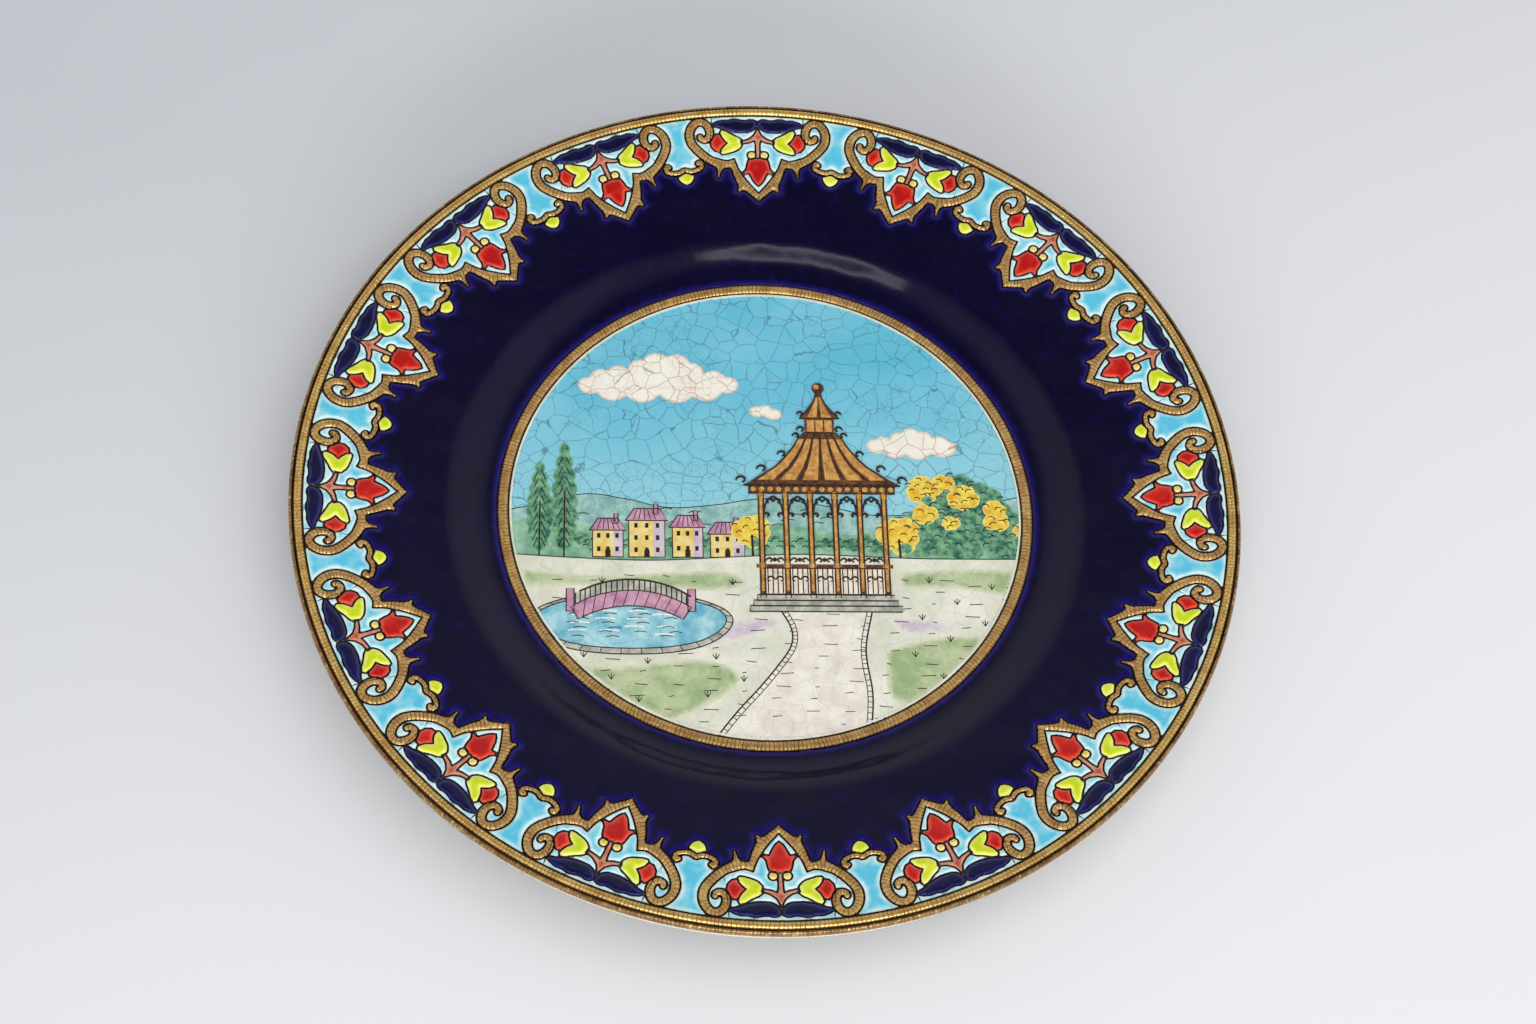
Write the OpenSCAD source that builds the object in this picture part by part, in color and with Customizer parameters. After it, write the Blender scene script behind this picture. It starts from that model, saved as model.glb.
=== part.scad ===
// Enamelled souvenir plate: an earthenware plate with a foot ring, a deep round well and a
// wide sloping flange. Enamel cells are laid between printed lines on the glazed face, and
// raised gilt lines, beads and rings frame them. Every cell is a solid of its own.

/* [Plate] */
// Overall diameter, across the gilt edge
plate_d = 250; // [220:1:300]
// Overall height, from the foot ring's face to the crown of the rim bead
plate_h = 23; // [19:0.5:28]
// Depth of the picture's face below the crown of the rim bead
well_depth = 11; // [9:0.5:13.5]
// Radius of the well's flat floor
well_r = 72.5; // [60:0.5:76]
// Radial run of the curved wall between the floor and the flange
wall_run = 12.5; // [9:0.5:16]
// Upward tilt of the flange, in degrees
flange_tilt = 7; // [4:0.5:10]
// Thickness of the flange
flange_t = 5.2; // [4:0.1:6.5]

/* [Foot ring] */
// Outer radius of the foot ring at its face
foot_r = 77; // [60:0.5:80]
// Width of the foot ring's face
foot_w = 6; // [4:0.5:8]
// Height of the foot ring below the back of the well
foot_h = 5; // [3:0.5:6]

/* [Glaze and enamel] */
// Thickness of the printed line coat
print_t = 0.12; // [0.08:0.01:0.2]
// Thickness of the enamel cells
enamel_t = 0.5; // [0.3:0.05:0.8]
// Width of the dark line left between two cells
line_w = 0.4; // [0.25:0.05:0.6]
// Thickness of the clear glaze on the back
glaze_t = 0.3; // [0.2:0.05:0.5]

/* [Gilt] */
// Thickness of the gilt band round the plate's edge
edge_t = 0.8; // [0.5:0.1:1.2]
// Height of the gilt band round the plate's edge
edge_h = 2.4; // [1.5:0.1:3]
// Width of the rim bead
bead_w = 2; // [1.5:0.1:3]
// Width of the groove between the rim bead and the edge
groove_w = 0.6; // [0.4:0.1:1]
// How far the rim bead stands above the enamel
bead_proud = 0.45; // [0.3:0.05:0.8]
// Outer radius of the gilt ring round the picture
ring_r = 71; // [58:0.5:72]
// Width of the gilt ring round the picture
ring_w = 2.6; // [1.8:0.1:3.5]
// How far the raised gilt lines and the picture ring stand above the enamel
gilt_proud = 0.35; // [0.2:0.05:0.6]
// Width of the gilt scroll lines
scroll_w = 2.1; // [1.4:0.1:2.4]
// Width of the gilt bracket lines
bracket_w = 1.1; // [0.8:0.1:1.4]

/* [Border] */
// Number of arches round the border
arch_count = 16; // [14:1:20]
// Depth of the border, from the rim line to the arches' points
border_depth = 26.8; // [22:0.2:32]
// Clear width between the scrolls of two arches, at the rim line
arch_gap = 7.4; // [6:0.2:9]

/* [Hidden] */
$fn = 96;

plate_r = plate_d / 2;
body_r = plate_r - edge_t;
bead_out_r = body_r - groove_w;
bead_mid_r = bead_out_r - bead_w / 2;
border_r = bead_out_r - bead_w - line_w;
picture_r = ring_r - ring_w - line_w;
well_z = plate_h - well_depth;
wall_steps = 10;
foot_chamfer = 0.8;
tall = plate_h + 5;
least_w = 0.3;

// ---- The face: a flat well, an S-shaped wall and a conical flange ----

function smooth(t) = t * t * (3 - 2 * t);
function flange_z(r) = plate_h - bead_proud - tan(flange_tilt) * (bead_mid_r - r);
function wall_part(r) = smooth(min(1, max(0, (r - well_r) / wall_run)));
// Height of the enamel's face at a radius
function face_z(r) = well_z + (flange_z(r) - well_z) * wall_part(r);
function bed_z(r) = face_z(r) - enamel_t;
function body_z(r) = bed_z(r) - print_t;
// Radii at which a profile between two radii needs a point
function stations(r1, r2) = concat([r1],
    [for (k = [0:wall_steps]) let (r = well_r + wall_run * k / wall_steps) if (r > r1 && r < r2) r],
    [r2]);
function reversed(list) = [for (i = [len(list) - 1:-1:0]) list[i]];

// A coat that follows the face between two radii, from low to high above the enamel's bed
module coat(r1, r2, low, high) {
    at_r = stations(r1, r2);
    under = [for (r = at_r) [r, bed_z(r) + low]];
    over = [for (r = reversed(at_r)) [r, bed_z(r) + high]];
    rotate_extrude() polygon(concat(under, over));
}

// A half-round bead that lies on the bed between two radii
module half_round(r_in, r_out, high) {
    mid = (r_in + r_out) / 2;
    half = (r_out - r_in) / 2;
    crown = [for (a = [0:15:180]) let (r = mid + half * cos(a)) [r, bed_z(r) + high * sin(a)]];
    rotate_extrude() polygon(crown);
}

// ---- Body and back ----

edge_round = 2.2;
edge_drop = 2.6;
back_swell = 1.6;

module body_profile() {
    top = [for (r = stations(0, body_r)) [r, body_z(r)]];
    edge_z = body_z(body_r) - edge_drop;
    edge = [for (a = [0:15:75]) [body_r - edge_round * (1 - cos(a)), edge_z - edge_round * sin(a)]];
    flange_in = max(well_r + wall_run, foot_r) + 4;
    foot_top = foot_h + 1.5;
    back = [
        [flange_in, face_z(flange_in) - flange_t],
        [(flange_in + foot_r) / 2 + back_swell, (face_z(flange_in) - flange_t + foot_top) / 2],
        [foot_r + back_swell, foot_top],
        [foot_r, foot_chamfer],
        [foot_r - foot_chamfer, 0],
        [foot_r - foot_w + foot_chamfer, 0],
        [foot_r - foot_w, foot_chamfer],
        [foot_r - foot_w - foot_chamfer, foot_h],
        [0, foot_h]
    ];
    polygon(concat(top, edge, back));
}

// The clear coat round the body's section
module glaze_profile() {
    difference() {
        offset(delta = glaze_t) body_profile();
        body_profile();
    }
}

module plate_body() {
    color("wheat") rotate_extrude() body_profile();
}

// The foot ring's face and its two chamfers stay bare
module back_glaze() {
    glaze_top = body_z(body_r) - edge_h;
    color("ivory") rotate_extrude() intersection() {
        glaze_profile();
        translate([foot_r - foot_chamfer, foot_chamfer]) square([plate_r - foot_r, glaze_top - foot_chamfer]);
    }
}

module foot_well_glaze() {
    color("ivory") translate([0, 0, foot_h - glaze_t])
        cylinder(h = glaze_t, r = foot_r - foot_w - 2 * foot_chamfer);
}

module outline_print() {
    color([0.13, 0.09, 0.07]) coat(0, body_r, -print_t, 0);
}

// ---- Gilt rings ----

module gilt_edge_band() {
    lip = enamel_t / 2;
    top = bed_z(body_r) + lip;
    color("darkgoldenrod") rotate_extrude() polygon([
        [body_r, top - edge_h],
        [plate_r - lip, top - edge_h],
        [plate_r, top - edge_h + lip],
        [plate_r, top - lip],
        [plate_r - lip, top],
        [body_r, top]
    ]);
}

module gilt_rim_bead() {
    color("goldenrod") half_round(bead_out_r - bead_w, bead_out_r, enamel_t + bead_proud);
}

module gilt_picture_ring() {
    color("goldenrod") half_round(ring_r - ring_w, ring_r, enamel_t + gilt_proud);
}

// ---- Border pattern, drawn once with its own axis along +Y ----
// A drawing point is [across, in]: across the arch in fortieths of its width, and in from the
// rim line in parts of the border's depth, both about 1 mm at the sizes above.

draw_w = 40;
draw_depth = 26.8;
arch_w = 2 * PI * border_r / arch_count - arch_gap;
across = arch_w / draw_w;
inward = border_depth / draw_depth;
half_pitch = 180 / arch_count;

function at(p) = [p[0] * across, border_r - p[1] * inward];
function placed(points) = [for (p = points) at(p)];
// A closed outline from its right half, listed from the axis round to the axis
function both_halves(half) = concat(placed(half), [for (p = reversed(placed(half))) [-p[0], p[1]]]);

function bend(a, b, c, d, t) = 0.5 * (2 * b + (c - a) * t + (2 * a - 5 * b + 4 * c - d) * t * t
    + (3 * b - a - 3 * c + d) * t * t * t);
// A smooth curve through the points, with a few steps between each two
function curve(p, steps) = concat([for (i = [0:len(p) - 2]) for (k = [0:steps - 1])
    bend(p[max(i - 1, 0)], p[i], p[i + 1], p[min(i + 2, len(p) - 1)], k / steps)], [p[len(p) - 1]]);
function sideways(p, i) = let (v = p[min(i + 1, len(p) - 1)] - p[max(i - 1, 0)]) [-v[1], v[0]] / norm(v);

// A line of even width along a path, with a round end
module stroke(path, w) {
    left = [for (i = [0:len(path) - 1]) path[i] + sideways(path, i) * w / 2];
    right = [for (i = [0:len(path) - 1]) path[i] - sideways(path, i) * w / 2];
    polygon(concat(left, reversed(right)));
    translate(path[len(path) - 1]) circle(d = w, $fn = 10);
}

module with_mirror() {
    children();
    mirror([1, 0]) children();
}

// A drawn shape with half of the dark line that runs round it
module inked(points) {
    offset(delta = line_w / 2) polygon(points);
}

// Scroll of an arch: from the shoulder out, up to the rim line and round into its eye
scroll_path = curve(placed([[9.5, 15.4], [12, 14.9], [15.6, 12.5], [18.3, 9.2], [19.2, 5.8],
    [17.1, 2.5], [14.9, 3.3], [13.9, 5.7], [15, 7.5], [16.2, 7]]), 2);
// Half of the arch's point, with its thorns: the outer edge, then back along the inner edge
point_half = [[0, 26.8], [2.7, 24.3], [4.5, 23.1], [5.7, 23.3], [5.6, 21.8], [6.8, 18.8],
    [7.6, 16.3], [8.5, 16.5], [10, 16.5], [11.2, 18.6], [11.5, 16.3], [12.6, 15.4], [12.5, 13.2],
    [10, 14.3], [8, 14.4], [6.7, 13.9], [4.9, 17.9], [2.4, 21.4], [0, 24.3]];
// Half of the arch's inside, along the middle of its gilt line
inside_half = [[0, 25.6], [3.6, 21.8], [5.8, 17.8], [7.3, 15], [11, 15], [14.2, 13.6],
    [16.9, 11.2], [18.6, 8.7], [19.2, 6.1], [18.7, 3.8], [17.1, 2.4], [17, -4], [0, -4]];

module arch_line() {
    inked(both_halves(point_half));
    with_mirror() stroke(scroll_path, scroll_w + line_w);
}

module arch_inside() {
    polygon(both_halves(inside_half));
}

bracket_path = curve(placed([[-0.3, 15.5], [1.8, 16.2], [4.3, 15.7], [5.1, 14.6], [4.5, 13.8]]), 2);

module bracket_line() {
    with_mirror() stroke(bracket_path, bracket_w + line_w);
}

module gap_inside() {
    polygon(both_halves([[0, 15.7], [2.4, 16.2], [4.6, 15.6], [6.8, 13.6], [8.6, 9], [12, -4], [0, -4]]));
}

module drop() {
    inked(both_halves([[0, 16.5], [1.1, 16.9], [2.2, 17.3], [2.1, 18.3], [1.4, 19.4], [0.5, 20.05],
        [0, 20.1]]));
}

module lily() {
    inked(both_halves([[0, 13.7], [1, 13.2], [2.2, 13.4], [3.1, 15.3], [3.5, 16.8], [4.3, 17.9],
        [2.6, 18.4], [1.8, 19.4], [1.2, 20.4], [0, 21.8]]));
}

module tulip() {
    with_mirror() inked(placed([[4.5, 8.5], [5.3, 6.9], [7.5, 5.7], [9.9, 4.7], [10.4, 5.3],
        [9.6, 7.1], [8.3, 8.7], [9.5, 10], [10.2, 11.5], [10, 12], [7.8, 11.5], [5.7, 10.7],
        [4.6, 9.1]]));
}

module bud() {
    difference() {
        with_mirror() inked(placed([[8.2, 8.7], [10.4, 6.2], [11.6, 6], [12.9, 7.5], [13.2, 8.9],
            [12.6, 10.4], [11.2, 11.2], [10.2, 10.9]]));
        tulip();
    }
}

module bead() {
    with_mirror() translate(at([1.75, 12.3])) circle(d = 2.1 * across + line_w, $fn = 12);
}

module leaf() {
    with_mirror() inked(placed([[0.5, 1.7], [2, 1.2], [4.5, 1.5], [7, 1.2], [10, 1.6], [13, 3.1],
        [10, 3.8], [7, 4.6], [4, 4.8], [1.5, 4.3], [0.7, 3.1]]));
}

module stem() {
    difference() {
        inked(both_halves([[0, 4], [1, 6.1], [2.6, 7.2], [4.3, 8], [4.1, 8.7], [2.2, 8.1],
            [0.8, 7.6], [0.6, 12.6], [0.5, 13.1], [0, 13.2]]));
        bead();
        lily();
    }
}

module flowers() {
    lily();
    tulip();
    bud();
    bead();
    leaf();
    stem();
}

module round_the_border(offset_angle = 0) {
    for (k = [0:arch_count - 1]) rotate(k * 2 * half_pitch + offset_angle) children();
}

// Lays 2D children on the print coat as enamel of a given height
module laid(high) {
    intersection() {
        linear_extrude(tall) children();
        coat(0, plate_r, 0, high);
    }
}

// Draws the 2D children as cells between the dark lines. What is too thin for enamel to fill
// stays dark.
module cells(high) {
    laid(high) offset(delta = least_w / 2) offset(delta = -(line_w + least_w) / 2) children();
}

module gilt_scroll_arches() {
    color("goldenrod") cells(enamel_t + gilt_proud) round_the_border() arch_line();
}

module gilt_brackets() {
    color("goldenrod") cells(enamel_t + gilt_proud) difference() {
        round_the_border(half_pitch) bracket_line();
        round_the_border() arch_line();
    }
}

module turquoise_arch_fields() {
    color("mediumturquoise") cells(enamel_t) difference() {
        round_the_border() intersection() {
            arch_inside();
            circle(border_r + line_w / 2);
        }
        round_the_border() {
            arch_line();
            flowers();
        }
    }
}

module turquoise_gap_fields() {
    color("mediumturquoise") cells(enamel_t) difference() {
        round_the_border(half_pitch) intersection() {
            gap_inside();
            circle(border_r + line_w / 2);
        }
        round_the_border() {
            arch_line();
            arch_inside();
        }
        round_the_border(half_pitch) bracket_line();
    }
}

module cobalt_ground() {
    color("midnightblue") cells(enamel_t) difference() {
        circle(border_r - 13 * inward);
        circle(ring_r);
        round_the_border() {
            arch_line();
            arch_inside();
        }
        round_the_border(half_pitch) {
            gap_inside();
            bracket_line();
            drop();
        }
    }
}

module red_lilies() {
    color("firebrick") cells(enamel_t) round_the_border() lily();
}

module red_buds() {
    color("firebrick") cells(enamel_t) round_the_border() bud();
}

module yellow_tulips() {
    color("yellowgreen") cells(enamel_t) round_the_border() tulip();
}

module yellow_beads() {
    color("khaki") cells(enamel_t) round_the_border() bead();
}

module yellow_drops() {
    color("yellowgreen") cells(enamel_t) round_the_border(half_pitch) drop();
}

module navy_leaves() {
    color("navy") cells(enamel_t) round_the_border() leaf();
}

module pink_stems() {
    color("rosybrown") cells(enamel_t) round_the_border() stem();
}

// ---- Picture: a garden bandstand beside a pond, a footbridge, a village and trees ----
// It is drawn in a circle of radius 68 and scaled to the picture's own radius.

draw_r = 68;

module cloud(x, y, w, h) {
    translate([x, y]) scale([w / 20, h / 6]) {
        translate([-6, 0]) circle(3.4, $fn = 20);
        translate([0, 1.4]) circle(4.6, $fn = 24);
        translate([6.4, 0.2]) circle(3.2, $fn = 20);
        translate([-9, -3]) square([18.6, 3.2]);
    }
}

module clouds_shape() {
    cloud(-28, 40, 46, 12);
    cloud(40, 20, 26, 6.5);
}

module hills_shape() {
    polygon(concat(curve([[-70, -2], [-48, 4], [-26, 0], [0, 3], [30, -2], [70, 5]], 4),
        [[70, -20], [-70, -20]]));
}

house_x = [-46, -36.5, -25, -15];
house_w = [8, 9.5, 8, 9];
house_h = [8, 11, 9, 7];
house_base = -15;

module houses_shape() {
    for (i = [0:len(house_x) - 1]) translate([house_x[i], house_base]) square([house_w[i], house_h[i]]);
}

module roofs_shape() {
    for (i = [0:len(house_x) - 1]) translate([house_x[i], house_base + house_h[i]])
        polygon([[-0.8, 0], [house_w[i] + 0.8, 0], [house_w[i] - 1.4, 3.6], [1.4, 3.6]]);
}

module poplars_shape() {
    for (p = [[-60, 28], [-53.5, 34]]) translate([p[0], -14 + p[1] / 2]) scale([5.6 / p[1], 1])
        circle(d = p[1], $fn = 28);
}

module grove_shape() {
    for (p = [[45, -6, 9], [56, -2, 11], [64, -8, 9], [50, 4, 8]]) translate([p[0], p[1]])
        circle(p[2], $fn = 24);
}

module golden_trees_shape() {
    for (p = [[-4, -7, 5.4], [35, -8, 6], [42, 6, 4.6]]) translate([p[0], p[1]]) circle(p[2], $fn = 20);
}

module lawn_shape() {
    polygon(concat(curve([[-70, -14], [-30, -16], [10, -14], [70, -15]], 4), [[70, -70], [-70, -70]]));
}

module path_shape() {
    polygon(concat(curve([[3, -30.5], [6, -40], [-2, -52], [-14, -66]], 4),
        curve([[24, -70], [26, -54], [25, -42], [27, -30.5]], 4)));
}

module pond_shape() {
    translate([-36, -34]) scale([1.9, 0.62]) circle(13, $fn = 40);
}

module footbridge_shape() {
    difference() {
        translate([-36, -52]) circle(27, $fn = 60);
        translate([-36, -55]) circle(25.4, $fn = 60);
        translate([-70, -90]) square([68, 60]);
    }
}

// Bandstand: steps, plinth, six posts, an arched frieze, a ribbed roof and its finial
stand_x = 15;
stand_w = 36;

module bandstand_shape() {
    translate([stand_x, 0]) {
        for (k = [0:2]) translate([-stand_w / 2 - 2 + k, -31 + 1.6 * k]) square([stand_w + 4 - 2 * k, 1.7]);
        for (k = [0:5]) translate([-stand_w / 2 + 0.9 + k * (stand_w - 3.2) / 5, -27]) square([1.4, 33]);
        translate([-stand_w / 2, -18]) square([stand_w, 1]);
        translate([-stand_w / 2 - 1.5, 4.6]) square([stand_w + 3, 2.4]);
        translate([0, 7]) polygon(both_slopes([[21, 0], [15.5, 3.6], [10, 8.4], [6, 14.4], [4.4, 16.4]]));
        translate([-4, 23]) square([8, 5]);
        translate([0, 28]) polygon(both_slopes([[5.4, 0], [3, 3], [1, 6.4], [0.5, 9]]));
        translate([0, 37.6]) circle(1.7, $fn = 16);
    }
}

function both_slopes(half) = concat(half, [for (p = reversed(half)) [-p[0], p[1]]]);

PICTURE = ["sky", "clouds", "hills", "houses", "roofs", "poplars", "grove", "golden_trees", "lawn",
    "path", "pond", "footbridge", "bandstand"];

module picture_shape(k) {
    if (k == 0) translate([-draw_r, -18]) square([2 * draw_r, 2 * draw_r]);
    if (k == 1) clouds_shape();
    if (k == 2) hills_shape();
    if (k == 3) houses_shape();
    if (k == 4) roofs_shape();
    if (k == 5) poplars_shape();
    if (k == 6) grove_shape();
    if (k == 7) golden_trees_shape();
    if (k == 8) lawn_shape();
    if (k == 9) path_shape();
    if (k == 10) pond_shape();
    if (k == 11) footbridge_shape();
    if (k == 12) bandstand_shape();
}

// One wash of the picture, with soft corners and without what later washes cover
module picture_wash(k) {
    laid(enamel_t) offset(r = least_w / 2, $fn = 8) offset(delta = -(line_w + least_w) / 2) difference() {
        intersection() {
            scale(picture_r / draw_r) picture_shape(k);
            circle(picture_r + line_w / 2, $fn = 72);
        }
        if (k < len(PICTURE) - 1) scale(picture_r / draw_r)
            for (j = [k + 1:len(PICTURE) - 1]) picture_shape(j);
    }
}

module picture_sky() color("skyblue") picture_wash(0);
module picture_clouds() color("ivory") picture_wash(1);
module picture_hills() color("lightsteelblue") picture_wash(2);
module picture_houses() color("wheat") picture_wash(3);
module picture_roofs() color("rosybrown") picture_wash(4);
module picture_poplars() color("seagreen") picture_wash(5);
module picture_grove() color("mediumseagreen") picture_wash(6);
module picture_golden_trees() color("gold") picture_wash(7);
module picture_lawn() color("palegoldenrod") picture_wash(8);
module picture_path() color("beige") picture_wash(9);
module picture_pond() color("lightblue") picture_wash(10);
module picture_footbridge() color("thistle") picture_wash(11);
module picture_bandstand() color("saddlebrown") picture_wash(12);

plate_body();
back_glaze();
foot_well_glaze();
outline_print();
gilt_edge_band();
gilt_rim_bead();
gilt_picture_ring();
gilt_scroll_arches();
gilt_brackets();
cobalt_ground();
turquoise_arch_fields();
turquoise_gap_fields();
red_lilies();
red_buds();
yellow_tulips();
yellow_beads();
yellow_drops();
navy_leaves();
pink_stems();
picture_sky();
picture_clouds();
picture_hills();
picture_houses();
picture_roofs();
picture_poplars();
picture_grove();
picture_golden_trees();
picture_lawn();
picture_path();
picture_pond();
picture_footbridge();
picture_bandstand();
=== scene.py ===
"""Looks of an enamelled souvenir plate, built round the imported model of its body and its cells.

Outlines are drawn flat in millimetres and lifted onto the plate's face. The border is drawn once,
as half of one arch and half of one bracket, and is mirrored and repeated round the plate.
"""

import itertools
import math

import bpy
import numpy as np
from mathutils import Matrix, Vector, geometry


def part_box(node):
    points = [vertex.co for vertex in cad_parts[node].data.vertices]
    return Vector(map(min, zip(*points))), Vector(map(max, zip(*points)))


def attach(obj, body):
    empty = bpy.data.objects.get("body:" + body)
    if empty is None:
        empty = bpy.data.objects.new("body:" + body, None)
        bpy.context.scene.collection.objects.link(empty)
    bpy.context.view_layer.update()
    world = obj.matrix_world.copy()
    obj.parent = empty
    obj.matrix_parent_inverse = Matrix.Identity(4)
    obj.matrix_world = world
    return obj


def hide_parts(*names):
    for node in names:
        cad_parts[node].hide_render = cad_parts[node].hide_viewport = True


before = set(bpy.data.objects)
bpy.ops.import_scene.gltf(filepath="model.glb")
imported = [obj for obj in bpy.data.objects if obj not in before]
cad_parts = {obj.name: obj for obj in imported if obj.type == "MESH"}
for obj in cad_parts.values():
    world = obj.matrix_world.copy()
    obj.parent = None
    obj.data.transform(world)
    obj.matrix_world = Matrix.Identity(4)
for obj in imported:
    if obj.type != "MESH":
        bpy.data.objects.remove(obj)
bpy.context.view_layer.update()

MM = 0.001

# ---- Sizes in millimetres, from the frame where a node gives them ----

PLATE_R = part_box("gilt_edge_band")[1][0] / MM
PLATE_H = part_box("gilt_rim_bead")[1][2] / MM
BODY_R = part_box("plate_body")[1][0] / MM
BEAD_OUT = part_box("gilt_rim_bead")[1][0] / MM
RING_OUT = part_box("gilt_picture_ring")[1][0] / MM
FOOT_HOLLOW_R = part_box("foot_well_glaze")[1][0] / MM
FOOT_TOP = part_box("foot_well_glaze")[1][2] / MM
EDGE_LOW, EDGE_HIGH = (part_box("gilt_edge_band")[k][2] / MM for k in (0, 1))
BEAD_W = 2.0
LINE_W = 0.4
ENAMEL = 0.5
PRINT = 0.12
BEAD_PROUD = 0.45
GILT_PROUD = 0.35
RING_W = 2.6
WELL_R = 72.5
WALL_RUN = 12.5
WELL_DEPTH = 11.0
FLANGE_TILT = math.radians(7)
BORDER_R = BEAD_OUT - BEAD_W - LINE_W
PICTURE_R = RING_OUT - RING_W - LINE_W
ARCHES = 16
HALF_PITCH = math.pi / ARCHES
FOOT_R = 77.0
FOOT_W = 6.0
FOOT_CHAMFER = 0.8
FLANGE_T = 5.2
EDGE_DROP = 2.6
EDGE_ROUND = 2.2
BACK_SWELL = 1.6
GLAZE = 0.3
SCROLL_W = 2.1 + LINE_W
BRACKET_W = 1.1 + LINE_W


def face_z(r):
    """Height of the enamel's face at a radius, in millimetres."""
    r = np.asarray(r, dtype=float)
    well = PLATE_H - WELL_DEPTH
    flange = PLATE_H - BEAD_PROUD - math.tan(FLANGE_TILT) * (BEAD_OUT - BEAD_W / 2 - r)
    t = np.clip((r - WELL_R) / WALL_RUN, 0, 1)
    return well + (flange - well) * t * t * (3 - 2 * t)


def bed_z(r):
    return face_z(r) - ENAMEL


# ---- Shader writing ----


def srgb(r, g, b):
    """A display colour as the linear one that a socket takes."""
    parts = [c / 255 for c in (r, g, b)]
    return tuple(c / 12.92 if c < 0.04045 else ((c + 0.055) / 1.055) ** 2.4 for c in parts) + (1.0,)


class Num:
    """A number in a shader, on which arithmetic is written."""

    def __init__(self, finish, socket):
        self.finish = finish
        self.socket = socket

    def __add__(self, other):
        return self.finish.math("ADD", self, other)

    def __sub__(self, other):
        return self.finish.math("SUBTRACT", self, other)

    def __rsub__(self, other):
        return self.finish.math("SUBTRACT", other, self)

    def __mul__(self, other):
        return self.finish.math("MULTIPLY", self, other)

    def __truediv__(self, other):
        return self.finish.math("DIVIDE", self, other)

    def __pow__(self, other):
        return self.finish.math("POWER", self, other)

    __radd__ = __add__
    __rmul__ = __mul__


class Finish:
    """A procedural material, with the few nodes that the finishes here share."""

    def __init__(self, name, **uniform):
        self.material = bpy.data.materials.new(name)
        self.material.use_nodes = True
        self.nodes = self.material.node_tree.nodes
        self.links = self.material.node_tree.links
        self.shader = self.nodes["Principled BSDF"]
        for key, value in uniform.items():
            self.shader.inputs[key.replace("_", " ")].default_value = value
        self.place = self.node("ShaderNodeTexCoord").outputs["Object"]

    def node(self, kind, settings=None, inputs=None):
        made = self.nodes.new(kind)
        for key, value in (settings or {}).items():
            if key == "stops":
                ramp = made.color_ramp
                while len(ramp.elements) < len(value):
                    ramp.elements.new(0.5)
                for element, (position, colour) in zip(ramp.elements, value):
                    element.position = position
                    element.color = colour
            else:
                setattr(made, key, value)
        for key, value in (inputs or {}).items():
            value = getattr(value, "socket", value)
            if isinstance(value, bpy.types.NodeSocket):
                self.links.new(value, made.inputs[key])
            else:
                made.inputs[key].default_value = value
        return made

    def math(self, operation, *values):
        made = self.node("ShaderNodeMath", {"operation": operation}, dict(enumerate(values)))
        return Num(self, made.outputs[0])

    def clamp(self, value):
        return Num(self, self.node("ShaderNodeClamp", None, {0: value}).outputs[0])

    def step(self, value, low, high):
        """0 below low, 1 above high and a soft change between."""
        made = self.node("ShaderNodeMapRange", {"interpolation_type": "SMOOTHSTEP"},
                         {"Value": value, "From Min": low, "From Max": high})
        return Num(self, made.outputs["Result"])

    def attribute(self, name):
        made = self.node("ShaderNodeAttribute", {"attribute_name": name})
        return Num(self, made.outputs["Fac"])

    def axis(self, index):
        return Num(self, self.node("ShaderNodeSeparateXYZ", None, {0: self.place}).outputs[index])

    def noise(self, size, detail=2.0, seed=0.0, roughness=0.5):
        """Soft noise about 0.5, with lumps of a size in millimetres."""
        made = self.node("ShaderNodeTexNoise", {"noise_dimensions": "4D"},
                         {"Vector": self.place, "W": seed, "Scale": 1 / (size * MM), "Detail": detail,
                          "Roughness": roughness})
        return Num(self, made.outputs["Fac"])

    def warped(self, size, reach):
        """Object coordinates pushed about by noise, so that straight things wander."""
        noise = self.node("ShaderNodeTexNoise", None, {"Vector": self.place, "Scale": 1 / (size * MM)})
        centred = self.node("ShaderNodeVectorMath", {"operation": "SUBTRACT"},
                            {0: noise.outputs["Color"], 1: (0.5, 0.5, 0.5)})
        push = self.node("ShaderNodeVectorMath", {"operation": "MULTIPLY_ADD"},
                         {0: centred.outputs[0], 1: (reach * MM,) * 3, 2: self.place})
        return push.outputs[0]

    def cracks(self, size, width, warp=1.5):
        """1 on the lines of a crackle whose cells are about size across, 0 between them."""
        made = self.node("ShaderNodeTexVoronoi", {"feature": "DISTANCE_TO_EDGE"},
                         {"Vector": self.warped(size, warp), "Scale": 1 / (size * MM)})
        return 1 - self.step(Num(self, made.outputs["Distance"]), 0, width / size)

    def mix(self, factor, a, b):
        made = self.node("ShaderNodeMix", {"data_type": "RGBA"}, {0: factor, 6: a, 7: b})
        return made.outputs[2]

    def bump(self, height, depth):
        """A bump whose full height is depth millimetres."""
        made = self.node("ShaderNodeBump", None,
                         {"Height": height, "Strength": 1.0, "Distance": depth * MM})
        return made.outputs["Normal"]

    def feed(self, **sockets):
        for key, value in sockets.items():
            self.links.new(getattr(value, "socket", value), self.shader.inputs[key.replace("_", " ")])
        return self.material


# ---- Finishes ----

INK = srgb(26, 20, 18)


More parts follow.
